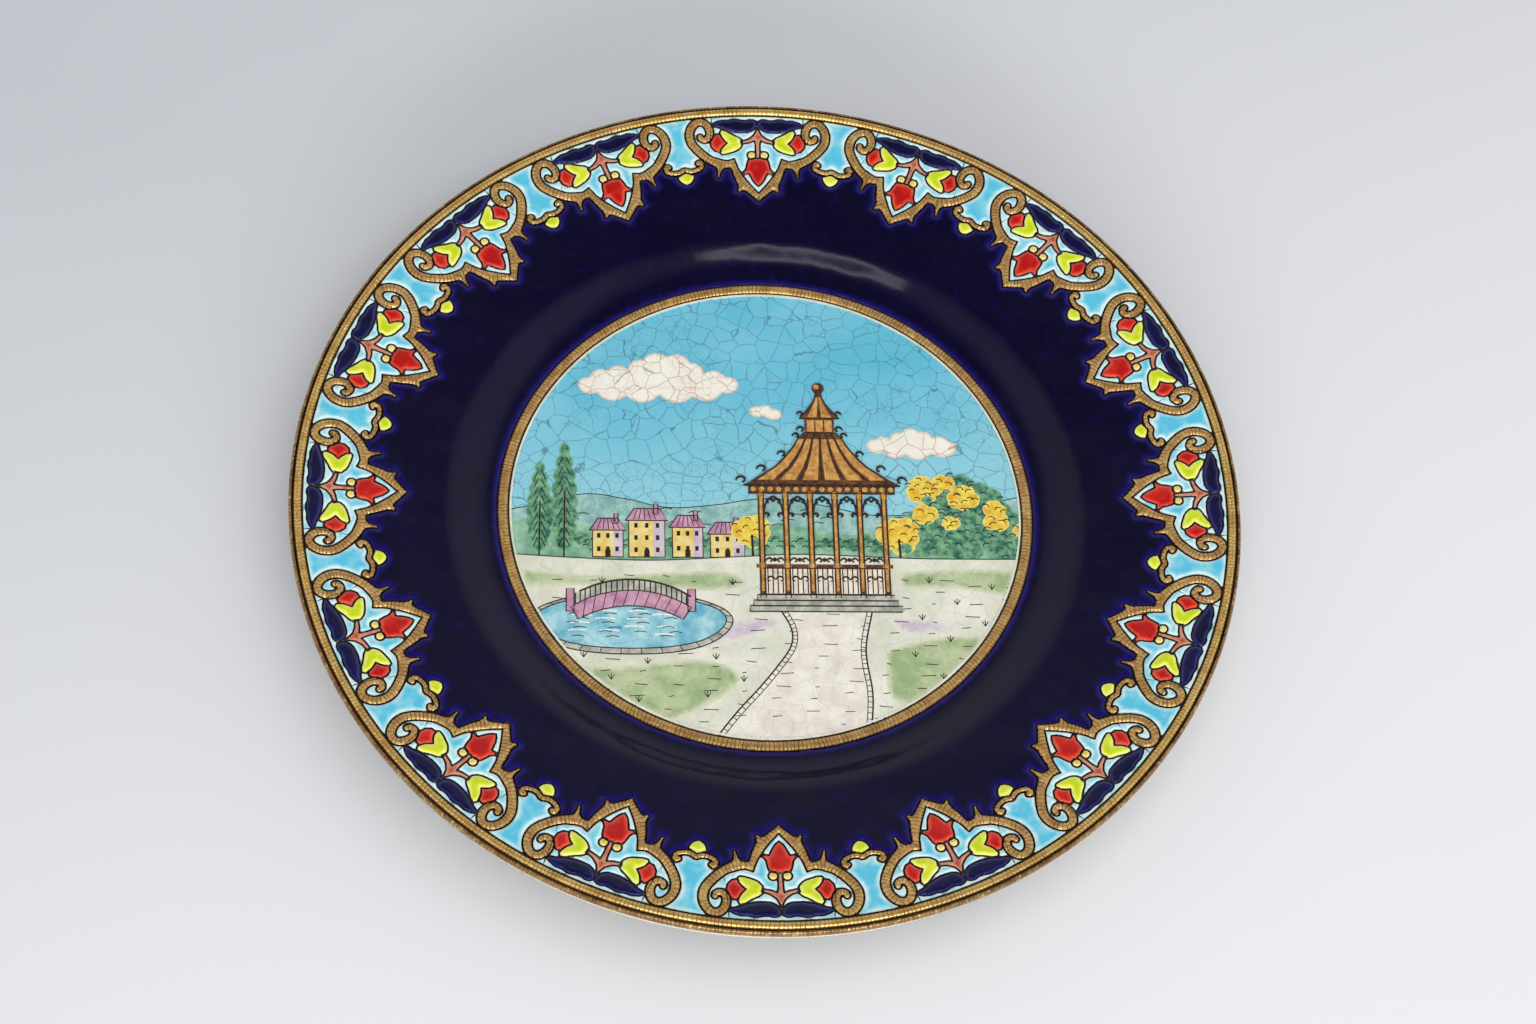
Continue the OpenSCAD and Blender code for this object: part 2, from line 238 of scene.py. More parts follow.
def enamel(name, colours, size, seed, pool=1.5, crackle=0.0):
    """Gloss enamel between dark lines: pale, middle and deep colours by thickness and cloudiness."""
    pale, middle, deep = colours
    f = Finish(name, Roughness=0.15, IOR=1.45, Coat_Weight=0.15, Coat_Roughness=0.04)
    edge = f.attribute("edge")
    cloud = f.noise(size, 3, seed)
    depth = f.clamp(f.step(edge, 0.15, pool) * 0.75 + (cloud - 0.5) * 1.5 + 0.1)
    colour = f.mix(f.step(depth, 0.1, 0.55), pale, middle)
    colour = f.mix(f.step(depth, 0.5, 0.95), colour, deep)
    if crackle:
        colour = f.mix(f.cracks(6, 0.16) * crackle, colour, srgb(70, 110, 120))
    ragged = edge + (f.noise(1.1, 2, seed + 5) - 0.5) * 0.16
    colour = f.mix(f.step(ragged, LINE_W / 2, LINE_W / 2 + 0.14), INK, colour)
    pits = f.bump(f.noise(5, 2, seed + 9), 0.10)
    return f.feed(Base_Color=colour, Normal=pits)


def cobalt():
    f = Finish("cobalt enamel", Roughness=0.12, IOR=1.34)
    edge = f.attribute("edge")
    cloud = f.noise(2.5, 3, 2)
    halo = f.clamp(1.05 - f.step(edge, 0.1, 2.6) + (cloud - 0.6) * 1.1) * f.step(edge, 0.15, 0.4)
    deep = f.mix(f.noise(14, 3, 4), srgb(5, 2, 28), srgb(11, 7, 44))
    colour = f.mix(halo * 0.72, deep, srgb(30, 20, 118))
    colour = f.mix(f.step(edge, LINE_W / 2, LINE_W / 2 + 0.12), INK, colour)
    waves = f.noise(20, 1, 3) * 1.0 + f.noise(7, 1, 6) * 0.16
    return f.feed(Base_Color=colour, Normal=f.bump(waves, 0.6))


def gilt(name, ring=0.0, polish=0.0, light=srgb(220, 176, 106), dark=srgb(184, 138, 74)):
    """Fired gold over a raised line, cracked across by fine dark hairlines. A ring has its radius given."""
    f = Finish(name, Metallic=0.6 + 0.35 * polish, IOR=1.5, Coat_Weight=0.15, Coat_Roughness=0.12)
    edge = None
    if ring:
        along = f.math("ARCTAN2", f.axis(1), f.axis(0)) * ring
    else:
        along = f.attribute("along")
        edge = f.attribute("edge")
    steps = along / 1.05 + f.noise(7, 2, 1) * 2.4 + f.noise(1.5, 1, 3) * 0.5
    across = f.math("ABSOLUTE", f.math("FRACT", steps) - 0.5)
    crack = (1 - f.step(across, 0.04, 0.17)) * f.step(f.noise(2.4, 2, 7), 0.25, 0.55)
    colour = f.mix(f.step(f.noise(4, 3, 12), 0.3, 0.7), dark, light)
    # Pale flecks in a highlight's colour, strewn at random: painted glints.
    colour = f.mix(f.step(f.noise(1.3, 2, 15), 0.5, 0.7) * 0.5, colour, srgb(246, 216, 144))
    colour = f.mix(crack * (0.72 - 0.3 * polish), colour, srgb(84, 54, 28))
    if edge:
        colour = f.mix(f.step(edge, LINE_W / 2 - 0.05, LINE_W / 2 + 0.12), INK, colour)
    rough = f.clamp(f.noise(1.5, 2, 21) * 0.35 + (0.12 - 0.08 * polish))
    height = f.noise(1.1, 2, 23) * (0.6 - 0.3 * polish) - crack * 0.8
    return f.feed(Base_Color=colour, Roughness=rough, Normal=f.bump(height, 0.13))


def print_coat():
    f = Finish("printed line coat", Roughness=0.25, IOR=1.5)
    colour = f.mix(f.step(f.noise(3, 3, 1), 0.35, 0.7), INK, srgb(52, 34, 24))
    return f.feed(Base_Color=colour, Normal=f.bump(f.noise(2, 2, 2), 0.05))


def back_glaze():
    f = Finish("clear back glaze", Roughness=0.14, IOR=1.5, Coat_Weight=0.3, Coat_Roughness=0.05)
    warm = f.mix(f.step(f.noise(30, 4, 1), 0.35, 0.7), srgb(236, 230, 214), srgb(224, 214, 192))
    speck = f.step(f.noise(1.3, 1, 8), 0.74, 0.8)
    colour = f.mix(speck * 0.45, warm, srgb(150, 120, 90))
    colour = f.mix(f.cracks(7, 0.14) * 0.35, colour, srgb(150, 128, 100))
    waves = f.noise(12, 2, 5) - f.cracks(7, 0.14) * 0.1
    return f.feed(Base_Color=colour, Normal=f.bump(waves, 0.25))


def biscuit():
    f = Finish("bare fired clay", Roughness=0.85, IOR=1.45)
    colour = f.mix(f.noise(6, 4, 1, 0.7), srgb(206, 184, 150), srgb(226, 208, 178))
    colour = f.mix(f.step(f.noise(0.9, 2, 3), 0.66, 0.76) * 0.6, colour, srgb(140, 106, 76))
    return f.feed(Base_Color=colour, Normal=f.bump(f.noise(0.7, 3, 4, 0.7), 0.08))


def picture_glaze(name, light, dark, size=5, seed=0, crack_tint=srgb(110, 128, 140), crackle=0.5, rim=None,
                  haze=None):
    """A colour washed thinly over cream glaze, under the picture's wide crackle."""
    f = Finish(name, Roughness=0.2, IOR=1.5, Coat_Weight=0.3, Coat_Roughness=0.06)
    wash = f.step(f.noise(size, 4, seed, 0.62), 0.32, 0.68)
    colour = f.mix(wash, light, dark)
    if haze:
        colour = f.mix(f.step(f.axis(1) / MM, 45, -10) * 0.7, colour, haze)
    if rim:
        ragged = f.attribute("edge") + (f.noise(1.6, 2, seed + 2) - 0.5) * rim[1]
        colour = f.mix(f.step(ragged, 0, rim[1]), rim[0], colour)
    wide = f.cracks(5.2, 0.15, 2.0)
    fine = f.cracks(3.0, 0.10, 1.2) * f.step(f.noise(15, 2, 31), 0.45, 0.62)
    lines = f.clamp(wide + fine * 0.6)
    colour = f.mix(lines * crackle, colour, crack_tint)
    relief = f.noise(14, 2, 8) * 1.0 - wide * 0.12
    return f.feed(Base_Color=colour, Normal=f.bump(relief, 0.18))


CREAM = srgb(240, 238, 222)
TURQUOISE = (srgb(214, 240, 238), srgb(146, 216, 230), srgb(90, 196, 224))
RED = (srgb(222, 78, 48), srgb(206, 40, 22), srgb(178, 16, 10))
YELLOW = (srgb(240, 242, 140), srgb(224, 232, 60), srgb(196, 216, 26))
GOLDEN = (srgb(244, 226, 150), srgb(234, 204, 70), srgb(214, 176, 30))
NAVY = (srgb(26, 26, 104), srgb(9, 9, 66), srgb(5, 5, 46))
PINK = (srgb(214, 146, 116), srgb(188, 100, 72), srgb(164, 76, 52))

finishes = {
    "arch turquoise": enamel("turquoise enamel", TURQUOISE, 3.6, 1, 1.9, 0.12),
    "red": enamel("red enamel", RED, 3.5, 2),
    "yellow": enamel("yellow enamel", YELLOW, 3.0, 3),
    "golden": enamel("golden enamel", GOLDEN, 2.0, 4),
    "navy": enamel("navy enamel", NAVY, 3.0, 5),
    "pink": enamel("pink enamel", PINK, 2.0, 6),
    "cobalt": cobalt(),
    "gilt line": gilt("gilt line"),
    # The rim bead's gold is real, but its paler colours than the other gilt are painted light, standing in for the
    # highlights on the bead's top.
    "gilt rim with painted light": gilt("gilt rim with painted light", BORDER_R, 0.45, srgb(246, 206, 122), srgb(214, 164, 84)),
    # The edge band's gold is real, but its darker colours are painted shade on the rim's rounded outer side.
    "gilt edge": gilt("gilt edge", PLATE_R, 0.3, srgb(172, 132, 76), srgb(122, 86, 44)),
    "gilt ring": gilt("gilt picture ring", RING_OUT),
    "print": print_coat(),
    "back": back_glaze(),
    "biscuit": biscuit(),
    "sky": picture_glaze("sky glaze", srgb(128, 204, 222), srgb(94, 188, 214), 34, 1, srgb(70, 104, 114), 0.7,
                         haze=srgb(160, 216, 224)),
    "cloud": picture_glaze("cloud glaze", srgb(248, 245, 232), srgb(240, 235, 218), 6, 2, srgb(160, 122, 98), 0.7,
                           (srgb(232, 200, 176), 0.9)),
    "cloud fold": picture_glaze("cloud shade wash", srgb(242, 230, 214), srgb(232, 212, 196), 6, 2,
                                srgb(160, 122, 98), 0.7, (srgb(247, 242, 228), 1.4)),
    "cream": picture_glaze("ground glaze", srgb(238, 236, 220), srgb(214, 216, 194), 9, 3, srgb(170, 168, 150), 0.3),
    "path": picture_glaze("path glaze", srgb(244, 240, 224), srgb(226, 216, 206), 6, 15, srgb(170, 168, 150), 0.3),
    "inside": picture_glaze("bandstand inside", srgb(244, 238, 220), srgb(230, 212, 186), 4, 16),
    "lilac": picture_glaze("lilac wash", srgb(222, 212, 216), srgb(196, 176, 194), 5, 4, srgb(150, 130, 150), 0.25,
                           (srgb(228, 226, 212), 2.6)),
    "grass": picture_glaze("grass wash", srgb(196, 206, 164), srgb(150, 176, 124), 6, 5, srgb(130, 140, 110), 0.25,
                           (srgb(218, 220, 190), 1.8)),
    "hill": picture_glaze("hill wash", srgb(160, 200, 168), srgb(104, 160, 128), 4, 17, srgb(80, 120, 100), 0.3),
    "leaf": picture_glaze("leaf wash", srgb(128, 182, 136), srgb(26, 96, 82), 1.9, 6, srgb(60, 90, 70), 0.3,
                          (srgb(120, 178, 130), 0.5)),
    "far leaf": picture_glaze("far leaf wash", srgb(176, 210, 200), srgb(120, 174, 168), 3.5, 7, srgb(90, 120, 110), 0.35),
    "gold leaf": picture_glaze("golden leaf wash", srgb(248, 228, 96), srgb(226, 170, 30), 1.9, 8, srgb(140, 110, 50), 0.3,
                               (srgb(244, 232, 150), 0.4)),
    "gold wash": picture_glaze("gold wash", srgb(222, 172, 92), srgb(170, 112, 48), 1.6, 18, srgb(90, 60, 30), 0.3),
    "ochre": picture_glaze("ochre wash", srgb(242, 226, 156), srgb(230, 196, 92), 3, 9, srgb(150, 120, 70), 0.25),
    "rose": picture_glaze("rose wash", srgb(214, 168, 184), srgb(176, 120, 154), 3, 10, srgb(120, 80, 100), 0.25),
    "stone": picture_glaze("stone wash", srgb(206, 206, 190), srgb(150, 152, 138), 3, 11, srgb(120, 110, 100), 0.3),
    "water": picture_glaze("water wash", srgb(178, 222, 226), srgb(96, 176, 198), 5, 12, srgb(90, 130, 150), 0.3),
    "bronze": picture_glaze("bronze wash", srgb(124, 76, 38), srgb(52, 30, 18), 1.4, 13, srgb(50, 30, 20), 0.2),
    "ink": picture_glaze("brown ink", srgb(58, 38, 28), srgb(28, 20, 20), 2, 14, srgb(20, 16, 16), 0.1),
}


# ---- Flat drawing, in millimetres with +Y up ----


def bend(points, steps=6):
    """A smooth curve through the points."""
    p = np.asarray(points, dtype=float)
    padded = np.vstack([2 * p[0] - p[1], p, 2 * p[-1] - p[-2]])
    t = np.arange(steps)[:, None] / steps
    parts = []
    for a, b, c, d in zip(padded, padded[1:], padded[2:], padded[3:]):
        parts.append(0.5 * (2 * b + (c - a) * t + (2 * a - 5 * b + 4 * c - d) * t**2
                            + (3 * b - a - 3 * c + d) * t**3))
    return np.vstack(parts + [p[-1:]])


def sideways(path):
    run = np.gradient(path, axis=0)
    return np.stack([-run[:, 1], run[:, 0]], axis=1) / np.linalg.norm(run, axis=1)[:, None]


def disc(x, y, r, count=24, squash=1.0):
    turn = np.arange(count) * 2 * math.pi / count
    return np.stack([x + r * np.cos(turn), y + r * squash * np.sin(turn)], axis=1)


def arc(radius, start, end, count):
    """Points on a circle about the plate's axis, at angles from +Y turned towards +X."""
    turn = np.linspace(start, end, count)
    return np.stack([radius * np.sin(turn), radius * np.cos(turn)], axis=1)


class Stroke:
    """A line along a path, whose width may change on the way."""

    def __init__(self, path, widths):
        self.path = path
        self.length = np.concatenate([[0], np.cumsum(np.linalg.norm(np.diff(path, axis=0), axis=1))])
        stops = np.linspace(0, self.length[-1], len(widths))
        self.widths = np.interp(self.length, stops, widths)

    def outline(self):
        """Both sides and a round end."""
        side = sideways(self.path) * self.widths[:, None] / 2
        end = self.path[-1] - self.path[-2]
        heading = math.atan2(end[1], end[0])
        turn = heading + np.linspace(math.pi / 2, -math.pi / 2, 12)[1:-1]
        cap = self.path[-1] + self.widths[-1] / 2 * np.stack([np.cos(turn), np.sin(turn)], axis=1)
        return np.vstack([self.path + side, cap, (self.path - side)[::-1]])

    def near(self, points):
        """How far each point is from the path, and how far along it its nearest place lies."""
        best, where = np.full(len(points), 1e9), np.zeros(len(points))
        for i in range(len(self.path) - 1):
            run = self.path[i + 1] - self.path[i]
            t = np.clip(((points - self.path[i]) @ run) / (run @ run), 0, 1)
            gap = np.linalg.norm(points - (self.path[i] + t[:, None] * run), axis=1)
            closer = gap < best
            best = np.where(closer, gap, best)
            where = np.where(closer, self.length[i] + t * (self.length[i + 1] - self.length[i]), where)
        return best, where

    def covers(self, points):
        gap, where = self.near(points)
        return gap < np.interp(where, self.length, self.widths) / 2 + 0.01


def grown(outline, by):
    """An outline with every point moved outwards."""
    p = np.asarray(outline, dtype=float)
    run = np.roll(p, -1, axis=0) - np.roll(p, 1, axis=0)
    out = np.stack([run[:, 1], -run[:, 0]], axis=1) / np.maximum(np.linalg.norm(run, axis=1), 1e-9)[:, None]
    area = np.sum(p[:, 0] * np.roll(p[:, 1], -1) - np.roll(p[:, 0], -1) * p[:, 1])
    return p + out * by * (1 if area > 0 else -1)


def grown_half(outline, by=LINE_W / 2):
    """A half outline that is grown, with its ends kept on the axis x = 0."""
    p = grown(np.vstack([outline, [[-q[0], q[1]] for q in outline[::-1]]]), by)[:len(outline)]
    p[0][0] = p[-1][0] = 0
    return p


# ---- Border, drawn as [across, in from the rim line] with the arch's axis along +Y ----


def at(points):
    p = np.asarray(points, dtype=float)
    return np.stack([p[:, 0], BORDER_R - p[:, 1]], axis=1)


def beside(points):
    """A drawing about the bracket's axis, turned into the arch's frame: its left half."""
    p = at(points)
    u, v = -p[:, 0], p[:, 1]
    s, c = math.sin(HALF_PITCH), math.cos(HALF_PITCH)
    return np.stack([u * c + v * s, v * c - u * s], axis=1)


scroll_path = bend(at([[9.5, 15.4], [11.5, 15.1], [14.2, 13.6], [16.9, 11.2], [18.6, 8.9], [19.15, 6.6],
                       [18.75, 4.4], [17.6, 2.75], [16.0, 2.15], [14.4, 3.0], [13.5, 4.9], [13.65, 6.7],
                       [14.6, 7.8], [15.8, 7.6], [16.2, 6.8]]), 5)
scroll = Stroke(scroll_path, [SCROLL_W, SCROLL_W, SCROLL_W, SCROLL_W * 0.96, SCROLL_W * 0.92, SCROLL_W * 0.72])
point_line = Stroke(np.vstack([bend(at([[0, 25.6], [3.4, 22], [5.9, 17.6], [7.4, 15.2]]), 6), scroll_path]), [1, 1])
bracket = Stroke(bend(beside([[0, 15.5], [1.6, 16.2], [3.2, 16.15], [4.6, 15.6], [5.2, 14.6], [4.7, 13.8],
                              [4.1, 14.1]]), 6), [BRACKET_W, BRACKET_W, BRACKET_W * 1.05])

POINT = [[0, 26.8], [1.3, 25.5], [2.7, 24.3], [3.6, 23.5], [4.5, 23.2], [5.3, 23.9], [5.9, 23.8], [5.6, 22.7], [5.7, 21.6],
         [6.3, 20.2], [6.9, 18.6], [7.3, 17.2], [7.7, 16.3], [8.6, 16.3], [9.5, 16.5], [10.2, 17.3], [10.6, 18.4],
         [10.9, 19.6], [11.4, 19.5], [11.3, 18.0], [11.5, 16.8], [12.6, 15.3], [12.5, 13.2], [11.2, 13.7],
         [10, 14.1], [8.6, 14.3],
         [7.6, 14.0], [6.7, 13.5], [6.3, 14.8], [5.7, 16.5], [4.9, 17.9], [3.7, 19.8], [2.2, 21.8], [0, 24.3]]
INSIDE = [[0, 25.6], [3.6, 21.8], [5.8, 17.8], [7.3, 15], [11, 15], [14.2, 13.6], [16.9, 11.2], [18.6, 8.7],
          [19.2, 6.1], [18.7, 3.8], [17.1, 2.4], [17, -4], [0, -4]]
GAP = [[0, 15.7], [2.4, 16.2], [4.6, 15.6], [6.8, 13.6], [8.6, 9], [12, -4], [0, -4]]
DROP = [[0, 16.4], [0.7, 16.6], [1.5, 17.1], [2.3, 17.4], [2.3, 18.1], [1.9, 19.0], [1.3, 19.7], [0.7, 20.1], [0, 20.3]]
LILY = [[0, 13.5], [0.9, 13.2], [2.1, 13.3], [2.7, 14.2], [3.0, 15.4], [3.2, 16.6], [3.8, 17.5], [4.7, 18.1],
        [3.6, 18.1], [2.5, 17.9], [2.0, 18.9], [1.4, 20.2], [0.7, 21.2], [0, 21.9]]
TULIP = [[4.4, 8.6], [4.6, 7.5], [5.4, 6.8], [6.5, 6.3], [7.6, 5.7], [8.8, 4.9], [10.1, 4.5], [10.5, 5.2],
         [10.1, 6.4], [9.5, 7.4], [8.3, 8.7], [9.3, 9.5], [10.1, 10.6], [10.4, 11.8], [10, 12.1],
         [8.8, 11.9], [7.6, 11.5], [6.5, 11.1], [5.5, 10.5], [4.7, 9.6]]
BUD = [[8.4, 8.6], [9.0, 7.2], [10.2, 6.2], [11.6, 5.9], [12.7, 7], [13.2, 8.6], [12.9, 10], [11.9, 11.1], [10.6, 11.3], [9.2, 10.6]]
LEAF = [[0.35, 1.6], [1.2, 1.15], [2.1, 1.1], [3.2, 1.45], [4.5, 1.4], [5.8, 1.1], [7, 1.1], [8.2, 1.5],
        [10, 1.5], [11.6, 2.1], [13.4, 3.1], [11.6, 3.4], [10, 3.8], [8.5, 4.4], [7, 4.7], [5.5, 4.95],
        [4, 4.9], [2.6, 4.8], [1.5, 4.3], [0.8, 3.6], [0.35, 2.8]]
STEM = [[0, 3.6], [0.4, 4.9], [1, 6.1], [2.5, 7.3], [4.6, 8.1], [4.5, 8.6], [2.2, 8.1], [0.75, 7.5],
        [0.45, 9], [0.42, 11], [0.5, 13.4], [0, 13.6]]

# Label, outlines; a later one lies over an earlier one
border_shapes = [
    ("turquoise_gap_fields", [beside(GAP)]),
    ("turquoise_arch_fields", [at(INSIDE)]),
    ("red_buds", [grown(at(BUD), LINE_W / 2)]),
    ("yellow_tulips", [grown(at(TULIP), LINE_W / 2)]),
    ("pink_stems", [grown_half(at(STEM))]),
    ("red_lilies", [grown_half(at(LILY))]),
    ("yellow_beads", [disc(*at([[1.75, 12.3]])[0], 1.25, 16)]),
    ("navy_leaves", [grown(at(LEAF), LINE_W / 2)]),
    ("yellow_drops", [beside(DROP)]),
    ("gilt_brackets", [bracket]),
    ("gilt_scroll_arches", [grown_half(at(POINT), LINE_W / 4), scroll]),
]


def hex_points(low, high, spacing):
    rows = np.arange(low[1], high[1], spacing * 0.866)
    out = []
    for i, y in enumerate(rows):
        x = np.arange(low[0] + (i % 2) * spacing / 2, high[0], spacing)
        out.append(np.stack([x, np.full(len(x), y)], axis=1))
    return np.vstack(out)


def distance_to(points, starts, ends):
    """Distance of each point from the nearest of many segments."""
    best = np.full(len(points), 1e9)
    for k in range(0, len(starts), 64):
        a, b = starts[k:k + 64], ends[k:k + 64]
        run = b - a
        t = np.clip(np.einsum("nmk,mk->nm", points[:, None] - a, run) / np.maximum((run**2).sum(1), 1e-12), 0, 1)
        near = a + t[..., None] * run
        best = np.minimum(best, np.sqrt(((points[:, None] - near)**2).sum(2)).min(1))
    return best


def drawn(shape):
    return shape.outline() if isinstance(shape, Stroke) else shape


def within(points, outline):
    """Which points lie inside a closed outline or on a stroke."""
    if isinstance(outline, Stroke):
        return outline.covers(points)
    x, y = points.T
    inside = np.zeros(len(points), dtype=bool)
    for a, b in zip(outline, np.roll(outline, -1, axis=0)):
        if a[1] != b[1]:
            crossing = a[0] + (y - a[1]) * (b[0] - a[0]) / (b[1] - a[1])
            inside ^= ((a[1] > y) != (b[1] > y)) & (x < crossing)
    return inside


def partition(shapes, domain, extra_points, merge=0.004):
    """Splits a domain into labelled triangles. Returns its points, triangles and their labels."""
    points, edges = [], []
    for outline in [domain] + [drawn(o) for _, outlines in shapes for o in outlines]:
        first, count = len(points), len(outline)
        edges.extend((first + i, first + (i + 1) % count) for i in range(count))
        points.extend(outline.tolist())
    points.extend(extra_points.tolist())
    result = geometry.delaunay_2d_cdt([Vector(p) for p in points], edges, [], 0, merge, False)
    verts, tris = np.array([list(v) for v in result[0]]), np.array(result[2])
    centres = verts[tris].mean(axis=1)
    names = np.full(len(tris), "cobalt_ground", dtype=object)
    for label, outlines in shapes:
        for outline in outlines:
            low, high = drawn(outline).min(axis=0), drawn(outline).max(axis=0)
            near = np.flatnonzero(((centres >= low) & (centres <= high)).all(axis=1))
            names[near[within(centres[near], outline)]] = label
    kept = within(centres, domain)
    return verts, tris[kept], names[kept]


def label_edges(tris, names):
    """Edges between two labels, and those on the domain's own outline."""
    owners = {}
    for tri, name in zip(tris.tolist(), names):
        for a, b in ((tri[0], tri[1]), (tri[1], tri[2]), (tri[2], tri[0])):
            owners.setdefault((min(a, b), max(a, b)), []).append(name)
    inner = [e for e, o in owners.items() if len(o) == 2 and o[0] != o[1]]
    outer = [e for e, o in owners.items() if len(o) == 1]
    return inner, outer


def closed(top, tris, floor, open_sides=None):
    """A sheet of triangles with walls down to a floor. Edges that lie on an open side get no wall."""
    count = len(top)
    below = top.copy()
    below[:, 2] = floor
    ways = {(a, b) for t in tris.tolist() for a, b in ((t[0], t[1]), (t[1], t[2]), (t[2], t[0]))}
    faces = tris.tolist() + (tris[:, ::-1] + count).tolist()
    for a, b in ways:
        if (b, a) not in ways and not (open_sides is not None and open_sides[a] and open_sides[b]):
            faces.append([a, a + count, b + count, b])
    return np.vstack([top, below]), faces


def upward(points, tris):
    """Triangles wound so that they face up."""
    a, b, c = (points[tris[:, k]] for k in range(3))
    turned = (b[:, 0] - a[:, 0]) * (c[:, 1] - a[:, 1]) - (b[:, 1] - a[:, 1]) * (c[:, 0] - a[:, 0])
    tris[turned < 0] = tris[turned < 0][:, ::-1]
    return tris


def mirrored(points, angle):
    """Points reflected in the line through the plate's axis at an angle from +Y towards +X."""
    c, s = math.cos(2 * angle), math.sin(2 * angle)
    return np.stack([-points[:, 0] * c + points[:, 1] * s, points[:, 0] * s + points[:, 1] * c], axis=1)


SEAM = 0.03


def border_cells():
    """One half arch and half bracket: points, triangles, labels and each point's distance to a line."""
    domain = np.vstack([arc(BORDER_R + LINE_W / 2, 0, HALF_PITCH, 28), arc(RING_OUT, HALF_PITCH, 0, 14)])
    outlines = [drawn(o) for _, shapes in border_shapes for o in shapes]
    starts = np.vstack(outlines)
    ends = np.vstack([np.roll(o, -1, axis=0) for o in outlines])
    fine = hex_points((0.2, 92), (24.5, 122), 0.44)
    coarse = hex_points((0.4, RING_OUT), (20, 92), 1.1)
    grid = np.vstack([fine, coarse])
    radius = np.hypot(*grid.T)
    turn = np.arctan2(grid[:, 0], grid[:, 1])
    inside = (turn * radius > 0.12) & ((HALF_PITCH - turn) * radius > 0.12) & (radius < BORDER_R) & (radius > RING_OUT + 0.3)
    grid = grid[inside]
    grid = grid[distance_to(grid, starts, ends) > 0.14]
    rails = [arc(r, a, a, 1) for a in (0, HALF_PITCH) for r in np.arange(RING_OUT + 0.8, 92, 0.9)]
    rails += [arc(r, a, a, 1) for a in (0, HALF_PITCH) for r in np.arange(92, BORDER_R, 0.42)]
    points, tris, names = partition(border_shapes, domain, np.vstack([grid] + rails))
    inner, outer = label_edges(tris, names)
    radius, turn = np.hypot(*points.T), np.arctan2(points[:, 0], points[:, 1])
    on_arch, on_bracket = turn * radius < SEAM, (HALF_PITCH - turn) * radius < SEAM
    on_side = on_arch | on_bracket
    turn = np.where(on_arch, 0, np.where(on_bracket, HALF_PITCH, turn))
    points = np.stack([radius * np.sin(turn), radius * np.cos(turn)], axis=1)
    edges = np.array(inner + [e for e in outer if not (on_side[e[0]] and on_side[e[1]])])
    a, b = points[edges[:, 0]], points[edges[:, 1]]
    starts = np.vstack([a, mirrored(a, 0), mirrored(a, HALF_PITCH)])
    ends = np.vstack([b, mirrored(b, 0), mirrored(b, HALF_PITCH)])
    return points, tris, names, distance_to(points, starts, ends), on_side


def swell(edge, height, run):
    """Height of a pool of enamel by distance from its line: steep at the edge, then flat."""
    t = np.clip((edge - LINE_W / 2) / run, 0, 1)
    return height * np.sqrt(1 - (1 - t)**2)


# ---- Meshes ----


def add_mesh(name, verts_mm, faces, material, attributes=None, smooth=True):
    mesh = bpy.data.meshes.new(name)
    mesh.from_pydata((np.asarray(verts_mm) * MM).tolist(), [], [list(map(int, f)) for f in faces])
    for key, values in (attributes or {}).items():
        mesh.attributes.new(key, "FLOAT", "POINT").data.foreach_set("value", np.asarray(values, dtype=np.float32))
    mesh.validate()
    if smooth:
        mesh.shade_smooth()
    mesh.materials.append(material)
    obj = bpy.data.objects.new(name, mesh)
    bpy.context.collection.objects.link(obj)
    return obj


def settle(piece, node=None):
    """Declares a finished piece to the frame."""
    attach(piece, "root")
    if node:
        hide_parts(*([node] if isinstance(node, str) else node))
    return piece


def repeat_tree():
    """Geometry nodes that set copies of a mesh round the plate's axis and weld their seams."""
    tree = bpy.data.node_groups.new("repeat round the plate", "GeometryNodeTree")
    face = tree.interface
    face.new_socket("Geometry", in_out="INPUT", socket_type="NodeSocketGeometry")
    face.new_socket("Copies", in_out="INPUT", socket_type="NodeSocketInt")
    face.new_socket("Weld", in_out="INPUT", socket_type="NodeSocketFloat")
    face.new_socket("Finish", in_out="INPUT", socket_type="NodeSocketMaterial")
    face.new_socket("Geometry", in_out="OUTPUT", socket_type="NodeSocketGeometry")

    def node(kind, **inputs):
        made = tree.nodes.new(kind)
        for key, value in inputs.items():
            key = key.replace("_", " ")
            if isinstance(value, bpy.types.NodeSocket):
                tree.links.new(value, made.inputs[key])
            else:
                made.inputs[key].default_value = value
        return made

    given = tree.nodes.new("NodeGroupInput")
    stand = node("GeometryNodePoints", Count=given.outputs["Copies"])
    index = tree.nodes.new("GeometryNodeInputIndex")
    turn = tree.nodes.new("ShaderNodeMath")
    turn.operation = "DIVIDE"
    tree.links.new(index.outputs[0], turn.inputs[0])
    tree.links.new(given.outputs["Copies"], turn.inputs[1])
    angle = tree.nodes.new("ShaderNodeMath")
    angle.operation = "MULTIPLY"
    angle.inputs[1].default_value = 2 * math.pi
    tree.links.new(turn.outputs[0], angle.inputs[0])
    spin = node("ShaderNodeCombineXYZ", Z=angle.outputs[0])
    copies = node("GeometryNodeInstanceOnPoints", Points=stand.outputs[0],
                  Instance=given.outputs["Geometry"], Rotation=spin.outputs[0])
    real = node("GeometryNodeRealizeInstances", Geometry=copies.outputs[0])
    weld = node("GeometryNodeMergeByDistance", Geometry=real.outputs[0], Distance=given.outputs["Weld"])
    coat = node("GeometryNodeSetMaterial", Geometry=weld.outputs[0], Material=given.outputs["Finish"])
    out = tree.nodes.new("NodeGroupOutput")
    tree.links.new(coat.outputs[0], out.inputs[0])
    return tree


REPEAT = repeat_tree()


